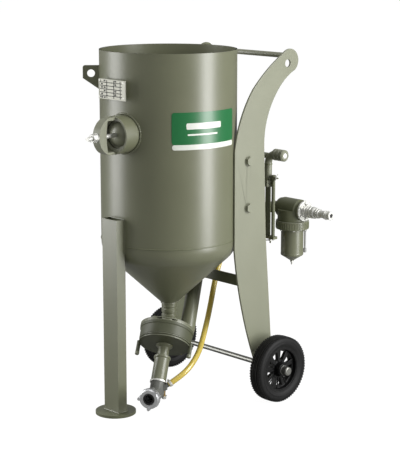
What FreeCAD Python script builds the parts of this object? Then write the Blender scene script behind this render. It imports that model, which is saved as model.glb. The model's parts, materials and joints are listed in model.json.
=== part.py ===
"""Abrasive blast pot on two wheels: vessel, frame, wheels, metering valve, hose and air piping.

Millimetres.  +Z is up, +Y points from the front leg to the wheels, X = 0 is the mid-plane of the
frame.  The row frame's origin is the middle of the footprint on the floor; every place below is
written from the vessel's axis, and put_at() moves it to that origin.
"""
import FreeCAD, Part
import math
import os
import re

import Sketcher

SIZES = {
    # overall
    "front_reach": 431,          # vessel axis to the tip of the handway stud
    "rear_reach": 558,           # vessel axis to the back of the separator
    "half_width": 362,           # mid-plane to the face of a hub cap
    # vessel
    "tank_radius": 250, "shell_wall": 5, "rim_height": 1315, "seam_height": 624,
    "cone_corner": 578, "cone_slope": 43, "knuckle_radius": 80,
    "socket_radius": 29, "socket_bore": 18, "socket_low": 316, "socket_high": 374,
    "dish_radius": 400, "dish_low": 1100, "filler_radius": 38,
    "seat_bore": 30, "seat_low": 1094, "seat_high": 1102,
    "stem_radius": 10, "stem_bore": 10.05, "popup_low": 1061, "popup_radius": 36, "popup_lift": 22,
    "standpipe_radius": 16, "standpipe_top": 1045, "inlet_height": 905, "inlet_radius": 13,
    "elbow_side": 40,
    # handway
    "handway_azimuth": 9, "handway_height": 1032, "neck_radius": 68, "neck_bore": 61,
    "neck_mouth": 308, "neck_inner": 226, "lip_bore": 50, "lip_face": 284, "lip_back": 278,
    "cover_radius": 60, "cover_back": 262, "cover_front": 274, "dome_radius": 44, "dome_crown": 60,
    "stud_radius": 8, "crab_width": 32, "crab_crown": 392, "crab_reach": 65, "crab_inner": 55,
    "arch_rise": 57, "crab_depth": 38, "soffit_rise": 6, "nut_flats": 13.5, "nut_depth": 22,
    # lug, plate and label
    "lug_azimuth": -39, "lug_thick": 10, "lug_reach": 59, "lug_top": 1257, "lug_hole": 14,
    "lug_foot": 87, "lug_heel": 46, "lug_round": 9, "lug_eye": 29,
    "plate_width": 148, "plate_height": 70, "plate_thick": 1.5, "plate_face": 263,
    "plate_middle": 1185, "bracket_width": 96, "bracket_depth": 40, "bracket_wall": 4,
    "label_low": 980, "label_high": 1112, "label_start": 51, "label_sweep": 63, "label_thick": 0.8,
    # leg
    "leg_width": 80, "leg_depth": 40, "leg_wall": 3, "leg_front": 284, "leg_top": 724,
    "foot_radius": 74, "foot_thick": 10, "notch_low": 552,
    # side plates
    "plate_gauge": 8, "plate_inner": 222, "plate_front": 116, "shoulder_height": 586,
    "shin_radius": 1740, "toe_y": 228, "toe_height": 138, "foot_round": 46, "heel_y": 317,
    "heel_height": 134, "waist_y": 277, "waist_height": 631, "back_y": 266, "back_height": 955,
    "nape_y": 329, "nape_height": 1150, "nape_radius": 298, "horn_y": 424, "horn_height": 1228,
    "horn_radius": 233, "crest_y": 397, "crest_height": 1307, "crest_radius": 44.2,
    "brow_y": 361, "brow_height": 1292, "brow_radius": 54, "crown_y": 208,
    "crown_height": 1170, "crown_radius": 661, "chest_height": 951, "chest_radius": 461,
    "axle_y": 272, "axle_height": 125, "axle_radius": 10,
    "plate_hole_y": 385, "plate_hole_height": 1254, "plate_hole": 14,
    "bolt_y": 186, "bolt_high": 911, "bolt_low": 738, "bolt_radius": 10, "bolt_clear": 11,
    "boss_radius": 22, "bolt_flats": 15, "bolt_head": 12,
    "grip_y": 405, "grip_height": 1280, "grip_radius": 10,
    "brace_y": 195, "brace_height": 452, "brace_depth": 41, "brace_thick": 8,
    # wheels
    "wheel_radius": 125, "wheel_width": 58, "wheel_middle": 304, "rim_radius": 86, "rim_width": 46,
    "rim_inner": 76, "hub_radius": 25, "hub_half": 31, "web_half": 8, "bush_radius": 14,
    "bush_bore": 10.05, "window_low": 35, "window_high": 67, "window_count": 9,
    "cap_radius": 17, "cap_depth": 24, "spacer_radius": 15,
    # metering valve, measured down its own axis from the foot of the socket
    "valve_tilt": 39, "valve_azimuth": 34, "neck_tube": 26, "flange_radius": 100, "cover_top": 45,
    "cover_foot": 56, "housing_foot": 118, "housing_radius": 97, "housing_step": 86,
    "housing_bore": 76, "ring_bore": 86.06, "ring_radius": 96, "ring_top": 106, "flow_bore": 18,
    "gate_radius": 56, "gate_top": 101, "gate_foot": 107, "handle_radius": 7.5, "handle_arm": 99,
    "handle_drop": 47,
    "cutoff_offset": 74, "cutoff_turn": 16, "cutoff_radius": 28, "cutoff_bore": 20,
    "cutoff_top": -172,
    "piston_radius": 19.95, "rod_radius": 5, "rod_bore": 5.05,
    "outlet_neck": 21, "outlet_collar": 31, "outlet_radius": 28, "outlet_foot": 268,
    "tee_distance": 306, "tee_radius": 27, "tee_back": 26,
    # blast hose coupling
    "coupling_azimuth": 30, "claw_start": 46, "claw_face": 84, "claw_radius": 37,
    "claw_bore": 16, "claw_recess": 21,
    # pusher hose
    "hose_radius": 10.5, "hose_lead": 46, "port_radius": 9, "port_reach": 53,
    "choke_y": 278, "choke_low": 598, "choke_high": 652, "pusher_height": 700,
    "stem_turn": 6, "lever_back": 18, "lever_thick": 6, "lever_length": 70,
    # inlet valve and exhaust
    "inlet_y": 405, "inlet_low": 640, "inlet_high": 940, "inlet_body": 42, "inlet_bore": 30,
    "plunger_radius": 29.95,
    "exhaust_x": 119, "exhaust_y": 400, "exhaust_height": 905, "exhaust_bend": 36,
    "exhaust_radius": 14, "drop_foot": 779, "silencer_start": 155, "silencer_end": 208,
    "silencer_radius": 22,
    "near_radius": 7, "far_radius": 10.5, "tube_near": 147, "tube_foot": 588, "spindle_radius": 3,
    # moisture separator
    "separator_x": 159, "separator_y": 494, "separator_height": 685, "separator_radius": 41,
    "separator_half": 60, "clamp_radius": 63.5,
    "clamp_low": 610, "clamp_high": 640, "bowl_radius": 43.5, "bowl_low": 506, "bowl_tip": 482,
    "nipple_tip": 360, "air_bore": 8, "flange_ring": 39,
    "sight_azimuth": 138, "sight_reach": 50, "sight_radius": 4,
}
TANK_Y = "(front_reach - rear_reach) / 2"
BEHIND = (0, 1, 0)
UP = (0, 0, 1)
DOWN = (0, 0, -1)
RIGHT = (1, 0, 0)

doc = FreeCAD.newDocument("blast_pot")
sheet = doc.addObject("Spreadsheet::Sheet", "sizes")
for row, (alias, number) in enumerate(SIZES.items(), start=1):
    sheet.set(f"A{row}", alias)
    sheet.set(f"B{row}", str(number))
    sheet.setAlias(f"B{row}", alias)
doc.recompute()

ALIASES = re.compile(r"\b(" + "|".join(SIZES) + r")\b")
nodes = []


# ---------------------------------------------------------------- helpers

def bound(expression):
    """The expression with every alias pointing at its cell."""
    return ALIASES.sub(r"sizes.\1", str(expression))


def value(expression):
    """What the expression comes to with the sheet's numbers."""
    return float(sheet.evalExpression(ALIASES.sub(lambda found: str(SIZES[found[0]]),
                                                  str(expression))))


def direction(azimuth, tilt=90):
    """Unit vector leaning tilt degrees from straight down, towards azimuth (0 is the front)."""
    lean = math.radians(tilt)
    turn = math.radians(azimuth)
    return (math.sin(lean) * math.sin(turn), -math.sin(lean) * math.cos(turn), -math.cos(lean))


def along(start, axis, distance):
    """The point at a distance from start along axis, as three expressions."""
    return tuple(f"({place}) + ({distance}) * ({part:.9f})" for place, part in zip(start, axis))


def put_at(piece, at, axis=UP, spin=0):
    """Turn the piece's own Z onto axis, after a spin about it, and bind its place to the sheet."""
    turned_to = FreeCAD.Rotation(FreeCAD.Vector(0, 0, 1), FreeCAD.Vector(*axis))
    about_z = FreeCAD.Rotation(FreeCAD.Vector(0, 0, 1), spin)
    piece.Placement = FreeCAD.Placement(FreeCAD.Vector(), turned_to * about_z)
    piece.setExpression("Placement.Base.x", bound(at[0]))
    piece.setExpression("Placement.Base.y", bound(f"({at[1]}) + {TANK_Y}"))
    piece.setExpression("Placement.Base.z", bound(at[2]))
    return piece


def node(piece, label):
    """Keep the piece as a sub-part under its label."""
    piece.Label = label
    nodes.append(piece)
    return piece


def add_loop(sketch, outline):
    """A closed outline; a point is (x, y), or (x, y, radius, turn) where an arc arrives at it,
    turn being 1 for a counter-clockwise arc and -1 for a clockwise one."""
    corners = [FreeCAD.Vector(value(point[0]), value(point[1]), 0) for point in outline]
    starts, ends = [], []
    for index, corner in enumerate(corners):
        following = (index + 1) % len(corners)
        target = corners[following]
        if len(outline[following]) == 2:
            edge = sketch.addGeometry(Part.LineSegment(corner, target), False)
            starts.append((edge, 1))
            ends.append((edge, 2))
            continue
        radius_text, turn = outline[following][2:]
        radius = value(radius_text)
        chord = target - corner
        rise = math.sqrt(radius ** 2 - (chord.Length / 2) ** 2)
        side = FreeCAD.Vector(-chord.y, chord.x, 0).normalize() * (rise * turn)
        centre = (corner + target) * 0.5 + side
        first, last = (corner, target) if turn > 0 else (target, corner)
        angles = [math.atan2(end.y - centre.y, end.x - centre.x) for end in (first, last)]
        circle = Part.Circle(centre, FreeCAD.Vector(0, 0, 1), radius)
        edge = sketch.addGeometry(Part.ArcOfCircle(circle, *angles), False)
        starts.append((edge, 1 if turn > 0 else 2))
        ends.append((edge, 2 if turn > 0 else 1))
        constraint = sketch.addConstraint(Sketcher.Constraint("Radius", edge, radius))
        sketch.setExpression(f"Constraints[{constraint}]", bound(radius_text))
    for index, point in enumerate(outline):
        sketch.addConstraint(Sketcher.Constraint("Coincident", *ends[index - 1], *starts[index]))
        for kind, text in zip(("DistanceX", "DistanceY"), point):
            constraint = sketch.addConstraint(
                Sketcher.Constraint(kind, -1, 1, *starts[index], value(text)))
            sketch.setExpression(f"Constraints[{constraint}]", bound(text))


def add_circle(sketch, x, y, radius):
    centre = FreeCAD.Vector(value(x), value(y), 0)
    hole = sketch.addGeometry(Part.Circle(centre, FreeCAD.Vector(0, 0, 1), value(radius)), False)
    for kind, text in (("DistanceX", x), ("DistanceY", y)):
        constraint = sketch.addConstraint(Sketcher.Constraint(kind, -1, 1, hole, 3, value(text)))
        sketch.setExpression(f"Constraints[{constraint}]", bound(text))
    constraint = sketch.addConstraint(Sketcher.Constraint("Radius", hole, value(radius)))
    sketch.setExpression(f"Constraints[{constraint}]", bound(radius))


def sketched(body, role, outline=None, circles=()):
    """A sketch on one of the body's own origin planes."""
    sketch = body.newObject("Sketcher::SketchObject", "outline")
    plane = next(item for item in body.Origin.OriginFeatures if item.Role == role)
    sketch.AttachmentSupport = (plane, [""])
    sketch.MapMode = "FlatFace"
    if outline:
        add_loop(sketch, outline)
    for circle in circles:
        add_circle(sketch, *circle)
    return sketch


def turned(outline, at=(0, 0, 0), axis=UP, spin=0, angle="360"):
    """A body turned from an outline of (radius, distance along the axis) points."""
    body = doc.addObject("PartDesign::Body", "turned")
    sketch = sketched(body, "XZ_Plane", outline)
    revolution = body.newObject("PartDesign::Revolution", "revolution")
    revolution.Profile = sketch
    revolution.ReferenceAxis = (sketch, ["V_Axis"])
    revolution.setExpression("Angle", bound(angle))
    return put_at(body, at, axis, spin)


def plate(outline, thickness, at, axis=UP, spin=0, circles=(), centred=True):
    """A body padded from an outline lying across axis."""
    body = doc.addObject("PartDesign::Body", "plate")
    sketch = sketched(body, "XY_Plane", outline, circles)
    pad = body.newObject("PartDesign::Pad", "pad")
    pad.Profile = sketch
    pad.setExpression("Length", bound(thickness))
    pad.Midplane = centred
    return put_at(body, at, axis, spin)


def rod(radius, length, at, axis=UP):
    cylinder = doc.addObject("Part::Cylinder", "rod")
    cylinder.setExpression("Radius", bound(radius))
    cylinder.setExpression("Height", bound(length))
    return put_at(cylinder, at, axis)


def tube(outer, inner, start, end, at=(0, 0, 0), axis=UP):
    """A plain tube between two distances along axis."""
    return turned([(inner, start), (outer, start), (outer, end), (inner, end)], at, axis)


def block(wide, deep, high, at):
    """A box with the middle of its base at a point."""
    box = doc.addObject("Part::Box", "block")
    for name, text in (("Length", wide), ("Width", deep), ("Height", high)):
        box.setExpression(name, bound(text))
    return put_at(box, (f"({at[0]}) - ({wide}) / 2", f"({at[1]}) - ({deep}) / 2", at[2]))


def hexagon(flats, length, at, axis=UP, bore=None, centred=False):
    """A hexagonal prism; flats is half its size across flats."""
    corner = f"({flats}) / cos(30)"
    side = f"({flats}) * tan(30)"
    outline = [(corner, "0"), (side, flats), (f"-({side})", flats),
               (f"-({corner})", "0"), (f"-({side})", f"-({flats})"), (side, f"-({flats})")]
    holes = [("0", "0", bore)] if bore else []
    return plate(outline, length, at, axis, circles=holes, centred=centred)


def joined(pieces):
    fuse = doc.addObject("Part::MultiFuse", "joined")
    fuse.Shapes = pieces
    return fuse


def less(piece, tool):
    cut = doc.addObject("Part::Cut", "cut")
    cut.Base = piece
    cut.Tool = tool
    return cut


def grouped(pieces):
    group = doc.addObject("Part::Compound", "group")
    group.Links = pieces
    return group


def both_sides(make):
    """The same piece made for the right and the left, as one group."""
    return grouped([make(side) for side in (1, -1)])


def arc_path(route):
    """Straight runs joined by tangent arcs, each as large as its two runs allow."""
    points = [FreeCAD.Vector(*point) for point in route]
    edges = []
    last = points[0]
    for before, corner, after in zip(points, points[1:], points[2:]):
        into = (corner - before).normalize()
        out = (after - corner).normalize()
        turn = into.getAngle(out)
        setback = 0.45 * min((corner - before).Length, (after - corner).Length)
        radius = setback / math.tan(turn / 2)
        start = corner - into * setback
        end = corner + out * setback
        middle = corner + (out - into).normalize() * (radius / math.cos(turn / 2) - radius)
        edges.append(Part.LineSegment(last, start).toShape())
        edges.append(Part.Arc(start, middle, end).toShape())
        print(f"bend radius {radius:.0f} mm, turn {math.degrees(turn):.0f} degrees")
        last = end
    edges.append(Part.LineSegment(last, points[-1]).toShape())
    return Part.Wire(edges)


# ---------------------------------------------------------------- vessel

def vessel():
    shell = tube("tank_radius", "tank_radius - shell_wall", "seam_height", "rim_height")
    handway = direction(SIZES["handway_azimuth"])
    opening = rod("neck_radius", "tank_radius", (0, 0, "handway_height"), handway)
    inlet = rod("inlet_radius", "tank_radius + 20", (0, 0, "inlet_height"), BEHIND)
    node(less(less(shell, opening), inlet), "tank_shell")

    inner = "(tank_radius - shell_wall)"
    dish_outer = f"dish_low + dish_radius - sqrt(dish_radius ^ 2 - {inner} ^ 2)"
    low_radius = "(dish_radius + shell_wall)"
    dish_inner = f"dish_low + dish_radius - sqrt({low_radius} ^ 2 - filler_radius ^ 2)"
    low_outer = f"dish_low + dish_radius - sqrt({low_radius} ^ 2 - {inner} ^ 2)"
    high_inner = "dish_low + dish_radius - sqrt(dish_radius ^ 2 - filler_radius ^ 2)"
    node(turned([("filler_radius", dish_inner), (inner, low_outer, low_radius, 1),
                 (inner, dish_outer), ("filler_radius", high_inner, "dish_radius", -1)]),
         "upper_head")

    half_turn = "(90 - cone_slope) / 2"
    reach = f"knuckle_radius * tan({half_turn})"
    inner_knuckle = "(knuckle_radius - shell_wall)"
    inner_corner = f"cone_corner + shell_wall * tan({half_turn})"
    inner_reach = f"{inner_knuckle} * tan({half_turn})"
    drop = "tan(cone_slope)"
    nozzle_outer = f"cone_corner - (tank_radius - socket_bore) * {drop}"
    nozzle_inner = f"{inner_corner} - ({inner} - socket_bore) * {drop}"
    node(turned([
        ("socket_bore", nozzle_outer),
        (f"tank_radius - {reach} * cos(cone_slope)", f"cone_corner - {reach} * sin(cone_slope)"),
        ("tank_radius", f"cone_corner + {reach}", "knuckle_radius", 1),
        ("tank_radius", "seam_height"),
        (inner, "seam_height"),
        (inner, f"{inner_corner} + {inner_reach}"),
        (f"{inner} - {inner_reach} * cos(cone_slope)",
         f"{inner_corner} - {inner_reach} * sin(cone_slope)", inner_knuckle, -1),
        ("socket_bore", nozzle_inner)]), "lower_head")

    cone_at_socket = f"cone_corner - (tank_radius - socket_radius) * {drop}"
    groove = "socket_radius - 3"
    node(turned([("socket_bore", "socket_low"), ("socket_radius", "socket_low"),
                 ("socket_radius", "socket_low + 10"), (groove, "socket_low + 13"),
                 (groove, "socket_low + 17"), ("socket_radius", "socket_low + 20"),
                 ("socket_radius", "socket_low + 32"), (groove, "socket_low + 35"),
                 (groove, "socket_low + 38"), ("socket_radius", "socket_low + 41"),
                 ("socket_radius", cone_at_socket), ("socket_bore", nozzle_outer)]),
         "outlet_socket")


def popup():
    node(tube("filler_radius", "seat_bore", "seat_low", "seat_high"), "popup_seat")
    node(turned([("0", "popup_low - 120"), ("stem_radius", "popup_low - 120"),
                 ("stem_radius", "popup_low - 6"), ("popup_radius - 6", "popup_low"),
                 ("popup_radius", "popup_low"), ("popup_radius", "popup_low + 4"),
                 ("5", "popup_low + popup_radius - 1"), ("0", "popup_low + popup_radius - 1")]),
         "popup_valve")

    upright = tube("standpipe_radius", "stem_bore", "inlet_height + elbow_side / 2", "standpipe_top")
    elbow = block("elbow_side", "elbow_side", "elbow_side",
                  (0, 0, "inlet_height - elbow_side / 2"))
    run = rod("inlet_radius", "inlet_y - inlet_body", (0, 0, "inlet_height"), BEHIND)
    bore_up = rod("stem_bore", "elbow_side", (0, 0, "inlet_height"))
    bore_back = rod("air_bore", "inlet_y", (0, 0, "inlet_height"), BEHIND)
    node(less(less(joined([elbow, run, upright]), bore_up), bore_back), "standpipe")


def handway():
    out = direction(SIZES["handway_azimuth"])
    centre = (0, 0, "handway_height")
    node(turned([("neck_bore", "neck_inner"), ("neck_radius", "neck_inner"),
                 ("neck_radius", "neck_mouth"), ("neck_bore", "neck_mouth"),
                 ("neck_bore", "lip_face"), ("lip_bore", "lip_face"),
                 ("lip_bore", "lip_back"), ("neck_bore", "lip_back")], centre, out),
         "handway_neck")
    node(tube("cover_radius", "lip_bore", "cover_front", "lip_back", centre, out),
         "handway_gasket")
    crown = "dome_crown - sqrt(dome_crown ^ 2 - dome_radius ^ 2)"
    at_stud = "dome_crown - sqrt(dome_crown ^ 2 - stud_radius ^ 2)"
    tip = "(front_reach - stud_radius * sin(handway_azimuth)) / cos(handway_azimuth)"
    node(turned([("0", "cover_back"), ("cover_radius", "cover_back"),
                 ("cover_radius", "cover_front"), ("dome_radius", "cover_front"),
                 ("stud_radius", f"cover_front + {crown} - ({at_stud})", "dome_crown", 1),
                 ("stud_radius", tip), ("0", tip)], centre, out), "handway_cover")

    shoulder = "crab_crown - arch_rise"
    arch = "(crab_reach ^ 2 + arch_rise ^ 2) / (2 * arch_rise)"
    springing = "crab_crown - crab_depth - soffit_rise"
    soffit = "(crab_inner ^ 2 + soffit_rise ^ 2) / (2 * soffit_rise)"
    profile = [("crab_inner", "neck_mouth"), ("crab_reach", "neck_mouth"),
               ("crab_reach", shoulder), ("-crab_reach", shoulder, arch, 1),
               ("-crab_reach", "neck_mouth"), ("-crab_inner", "neck_mouth"),
               ("-crab_inner", springing), ("crab_inner", springing, soffit, -1)]
    body = doc.addObject("PartDesign::Body", "crab")
    pad = body.newObject("PartDesign::Pad", "pad")
    pad.Profile = sketched(body, "XZ_Plane", profile)
    pad.setExpression("Length", bound("crab_width"))
    pad.Midplane = True
    put_at(body, centre)
    # its own Z points out of the handway, and its own X, the bridge's span, as given
    body.Placement.Rotation = FreeCAD.Rotation(
        FreeCAD.Vector(0, 0, 1), FreeCAD.Vector(), FreeCAD.Vector(*out), "ZXY")
    hole = rod("stud_radius + 0.05", "crab_crown", centre, out)
    node(less(body, hole), "handway_crab")

    node(hexagon("nut_flats", "nut_depth", along(centre, out, "crab_crown"), out,
                 bore="stud_radius + 0.05"), "handway_nut")


def fittings():
    tip = "tank_radius + lug_reach"
    outline = [("tank_radius", "lug_top - lug_foot"), (tip, "lug_top - lug_heel"),
               (tip, "lug_top - lug_round"), (f"{tip} - lug_round", "lug_top", "lug_round", 1),
               ("tank_radius", "lug_top")]
    body = doc.addObject("PartDesign::Body", "lug")
    pad = body.newObject("PartDesign::Pad", "pad")
    pad.Profile = sketched(body, "XZ_Plane", outline,
                           [("tank_radius + lug_eye", "lug_top - lug_eye", "lug_hole")])
    pad.setExpression("Length", bound("lug_thick"))
    pad.Midplane = True
    put_at(body, (0, 0, 0), UP, SIZES["lug_azimuth"] - 90)
    node(body, "lifting_lug")

    front = "-(plate_face - plate_thick)"
    seat_block = block("bracket_width", "bracket_depth", "plate_height - 20",
                       (0, f"{front} + bracket_depth / 2", "plate_middle - plate_height / 2 + 10"))
    round_wall = rod("tank_radius", "rim_height", (0, 0, 0))
    hollow = block("bracket_width - 2 * bracket_wall", "bracket_depth", "plate_height",
                   (0, f"{front} + bracket_depth / 2 + bracket_wall",
                    "plate_middle - plate_height / 2"))
    node(less(less(seat_block, round_wall), hollow), "plate_bracket")
    node(block("plate_width", "plate_thick", "plate_height",
               (0, "-plate_face + plate_thick / 2", "plate_middle - plate_height / 2")),
         "data_plate")
    node(turned([("tank_radius", "label_low"), ("tank_radius + label_thick", "label_low"),
                 ("tank_radius + label_thick", "label_high"), ("tank_radius", "label_high")],
                (0, 0, 0), UP, SIZES["label_start"] - 90, "label_sweep"), "label_panel")


# ---------------------------------------------------------------- frame

def leg():
    middle = "-leg_front + leg_depth / 2"
    outer = block("leg_width", "leg_depth", "leg_top - foot_thick", (0, middle, "foot_thick"))
    inner = block("leg_width - 2 * leg_wall", "leg_depth - 2 * leg_wall", "leg_top",
                  (0, middle, "foot_thick"))
    notch = rod("tank_radius", "leg_top - notch_low", (0, 0, "notch_low"))
    node(less(less(outer, inner), notch), "front_leg")
    node(rod("foot_radius", "foot_thick", (0, middle, 0)), "foot_disc")


def side_plates():
    outline = [
        ("plate_front", "shoulder_height"), ("toe_y", "toe_height", "shin_radius", 1),
        ("axle_y", "axle_height - foot_round", "foot_round", 1),
        ("heel_y", "heel_height", "foot_round", 1), ("waist_y", "waist_height"),
        ("back_y", "back_height"), ("nape_y", "nape_height", "nape_radius", -1),
        ("horn_y", "horn_height", "horn_radius", -1),
        ("crest_y", "crest_height", "crest_radius", 1),
        ("brow_y", "brow_height", "brow_radius", 1),
        ("crown_y", "crown_height", "crown_radius", 1),
        ("plate_front", "chest_height", "chest_radius", 1)]
    for label, side in (("right_side_plate", 1), ("left_side_plate", -1)):
        body = doc.addObject("PartDesign::Body", "plate")
        holes = [("plate_hole_y", "plate_hole_height", "plate_hole"),
                 ("axle_y", "axle_height", "axle_radius"),
                 ("bolt_y", "bolt_high", "bolt_clear"), ("bolt_y", "bolt_low", "bolt_clear")]
        pad = body.newObject("PartDesign::Pad", "pad")
        pad.Profile = sketched(body, "YZ_Plane", outline, holes)
        pad.setExpression("Length", bound("plate_gauge"))
        pad.Midplane = True
        put_at(body, (f"{side} * (plate_inner + plate_gauge / 2)", 0, 0))
        node(body, label)


def cross_members():
    def bosses(side):
        posts = [rod("boss_radius", "plate_inner", (0, "bolt_y", height), (side, 0, 0))
                 for height in ("bolt_high", "bolt_low")]
        return grouped([less(less(post, rod("tank_radius", "rim_height", (0, 0, 0))),
                             rod("bolt_radius", "plate_inner", (0, "bolt_y", height),
                                 (side, 0, 0)))
                        for post, height in zip(posts, ("bolt_high", "bolt_low"))])
    node(both_sides(bosses), "plate_bosses")

    def bolts(side):
        outside = "(plate_inner + plate_gauge)"
        made = []
        for height in ("bolt_high", "bolt_low"):
            head = hexagon("bolt_flats", "bolt_head", (f"{side} * {outside}", "bolt_y", height),
                           (side, 0, 0))
            shank = rod("bolt_radius", "40", (f"{side} * ({outside} - 40)", "bolt_y", height),
                        (side, 0, 0))
            made.append(joined([head, shank]))
        return grouped(made)
    node(both_sides(bolts), "plate_bolts")
    node(rod("grip_radius", "2 * plate_inner", ("-plate_inner", "grip_y", "grip_height"), RIGHT),
         "handle_bar")
    node(block("2 * plate_inner", "brace_thick", "brace_depth",
               (0, "brace_y", "brace_height - brace_depth / 2")), "cross_brace")


def axle_set():
    node(rod("axle_radius", "2 * (half_width - 6)", ("-(half_width - 6)", "axle_y", "axle_height"),
             RIGHT), "axle")
    inside = "(plate_inner + plate_gauge)"

    def spacer(side):
        return tube("spacer_radius", "axle_radius", inside, "wheel_middle - hub_half - 0.5",
                    (0, "axle_y", "axle_height"), (side, 0, 0))
    node(both_sides(spacer), "axle_spacers")

    def cap(side):
        return turned([("axle_radius", "half_width - cap_depth"),
                       ("cap_radius", "half_width - cap_depth"),
                       ("cap_radius", "half_width - 6"), ("cap_radius - 6", "half_width", "6", 1),
                       ("0", "half_width"), ("0", "half_width - 6"),
                       ("axle_radius", "half_width - 6")],
                      (0, "axle_y", "axle_height"), (side, 0, 0))
    node(both_sides(cap), "hub_caps")


def wheel(name, side):
    at = (f"{side} * wheel_middle", "axle_y", "axle_height")
    out = (side, 0, 0)
    edge = "wheel_width / 2"
    node(turned([("rim_radius", f"-{edge} + 4"), ("wheel_radius - 13", f"-{edge}"),
                 ("wheel_radius", f"-{edge} + 13", "13", 1), ("wheel_radius", f"{edge} - 13"),
                 ("wheel_radius - 13", edge, "13", 1), ("rim_radius", f"{edge} - 4")], at, out),
         f"{name}_tyre")
    body = turned([("bush_radius", "-hub_half"), ("hub_radius", "-hub_half"),
                   ("hub_radius + 3", "-web_half"), ("rim_inner - 3", "-web_half"),
                   ("rim_inner", "-rim_width / 2"), ("rim_radius", "-rim_width / 2"),
                   ("rim_radius", "rim_width / 2"), ("rim_inner", "rim_width / 2"),
                   ("rim_inner - 3", "web_half"), ("hub_radius + 3", "web_half"),
                   ("hub_radius", "hub_half"), ("bush_radius", "hub_half")], at, out)
    window = body.newObject("PartDesign::Pocket", "window")
    window.Profile = sketched(body, "XY_Plane", [
        ("window_low", "-7"), ("window_high", "-16"), ("window_high", "16"), ("window_low", "7")])
    window.Type = "ThroughAll"
    window.Midplane = True
    pattern = body.newObject("PartDesign::PolarPattern", "windows")
    pattern.Originals = [window]
    pattern.Axis = (next(item for item in body.Origin.OriginFeatures if item.Role == "Z_Axis"), [""])
    pattern.Angle = 360
    pattern.setExpression("Occurrences", bound("window_count"))
    body.Tip = pattern
    node(body, f"{name}_rim")
    node(tube("bush_radius", "bush_bore", "-hub_half", "hub_half", at, out), f"{name}_bush")


# ---------------------------------------------------------------- metering valve and coupling

VALVE_AXIS = direction(SIZES["valve_azimuth"], SIZES["valve_tilt"])
VALVE_TOP = (0, 0, "socket_low")
COUPLING_AXIS = direction(SIZES["coupling_azimuth"])
ACROSS = direction(SIZES["valve_azimuth"] + 90)
CUTOFF_OUT = tuple(FreeCAD.Rotation(FreeCAD.Vector(*VALVE_AXIS), -SIZES["cutoff_turn"])
                   .multVec(FreeCAD.Vector(*ACROSS)))


def metering_valve():
    neck = rod("neck_tube", "cover_top + 30", along(VALVE_TOP, VALVE_AXIS, "-30"), VALVE_AXIS)
    above = block("200", "200", "100", (0, 0, "socket_low"))
    disc = turned([("0", "cover_top"), ("flange_radius - 3", "cover_top"),
                   ("flange_radius", "cover_top + 3"), ("flange_radius", "cover_foot"),
                   ("housing_bore", "cover_foot"), ("housing_bore", "cover_foot - 4"),
                   ("0", "cover_foot - 4")], VALVE_TOP, VALVE_AXIS)
    flow = rod("flow_bore", "cover_foot + 30", along(VALVE_TOP, VALVE_AXIS, "-30"), VALVE_AXIS)
    side_top = along(VALVE_TOP, CUTOFF_OUT, "cutoff_offset")
    rod_hole = rod("rod_bore", "cover_foot", side_top, VALVE_AXIS)
    node(less(less(less(joined([neck, disc]), above), flow), rod_hole), "valve_cover")

    node(turned([("housing_bore", "cover_foot"), ("flange_radius", "cover_foot"),
                 ("flange_radius", "cover_foot + 11"), ("housing_radius", "cover_foot + 13"),
                 ("housing_radius", "ring_top - 0.5"), ("housing_step", "ring_top - 0.5"),
                 ("housing_step", "housing_foot"), ("flow_bore", "housing_foot"),
                 ("flow_bore", "housing_foot - 10"), ("housing_bore", "housing_foot - 10")],
                VALVE_TOP, VALVE_AXIS), "valve_housing")
    node(tube("gate_radius", "flow_bore", "gate_top", "gate_foot", VALVE_TOP, VALVE_AXIS),
         "metering_gate")

    ring = turned([("ring_bore", "ring_top"), ("ring_radius", "ring_top"),
                   ("ring_radius", "ring_top + 3"), ("ring_radius - 3", "ring_top + 4"),
                   ("ring_radius - 3", "housing_foot - 4"), ("ring_radius", "housing_foot - 3"),
                   ("ring_radius", "housing_foot"), ("ring_bore", "housing_foot")],
                  VALVE_TOP, VALVE_AXIS)
    arms = []
    for side in (1, -1):
        out = tuple(side * part for part in ACROSS)
        level = along(VALVE_TOP, VALVE_AXIS, "(ring_top + housing_foot) / 2")
        arm = rod("handle_radius - 3", "handle_arm - ring_radius + 6",
                  along(level, out, "ring_radius - 6"), out)
        drop = rod("handle_radius", "handle_drop",
                   along(along(level, out, "handle_arm"), VALVE_AXIS, "ring_top - housing_foot + 7"),
                   VALVE_AXIS)
        arms += [arm, drop]
    node(joined([ring] + arms), "adjuster_ring")

    node(turned([("cutoff_bore", "cutoff_top + 8"), ("rod_bore", "cutoff_top + 8"),
                 ("rod_bore", "cutoff_top"), ("cutoff_radius - 3", "cutoff_top"),
                 ("cutoff_radius", "cutoff_top + 3"), ("cutoff_radius", "cover_top"),
                 ("rod_bore", "cover_top"), ("rod_bore", "cover_top - 8"),
                 ("cutoff_bore", "cover_top - 8")], side_top, VALVE_AXIS), "cutoff_cylinder")
    node(turned([("0", "-40"), ("piston_radius", "-40"), ("piston_radius", "-24"),
                 ("rod_radius", "-24"), ("rod_radius", "cover_foot"), ("0", "cover_foot")],
                side_top, VALVE_AXIS), "cutoff_piston")

    node(turned([("flow_bore", "housing_foot"), ("outlet_collar", "housing_foot"),
                 ("outlet_collar", "housing_foot + 5"), ("outlet_neck", "housing_foot + 12"),
                 ("outlet_neck", "housing_foot + 44"), ("outlet_collar", "housing_foot + 47"),
                 ("outlet_collar", "housing_foot + 55"), ("outlet_radius", "housing_foot + 58"),
                 ("outlet_radius", "outlet_foot - 6"), ("outlet_radius + 2", "outlet_foot - 5"),
                 ("outlet_radius + 2", "outlet_foot"), ("flow_bore", "outlet_foot")],
                VALVE_TOP, VALVE_AXIS), "valve_outlet")


TEE_CENTRE = along(VALVE_TOP, VALVE_AXIS, "tee_distance")
PORT_AXIS = (0.4, 0.76, 0.512)


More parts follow.
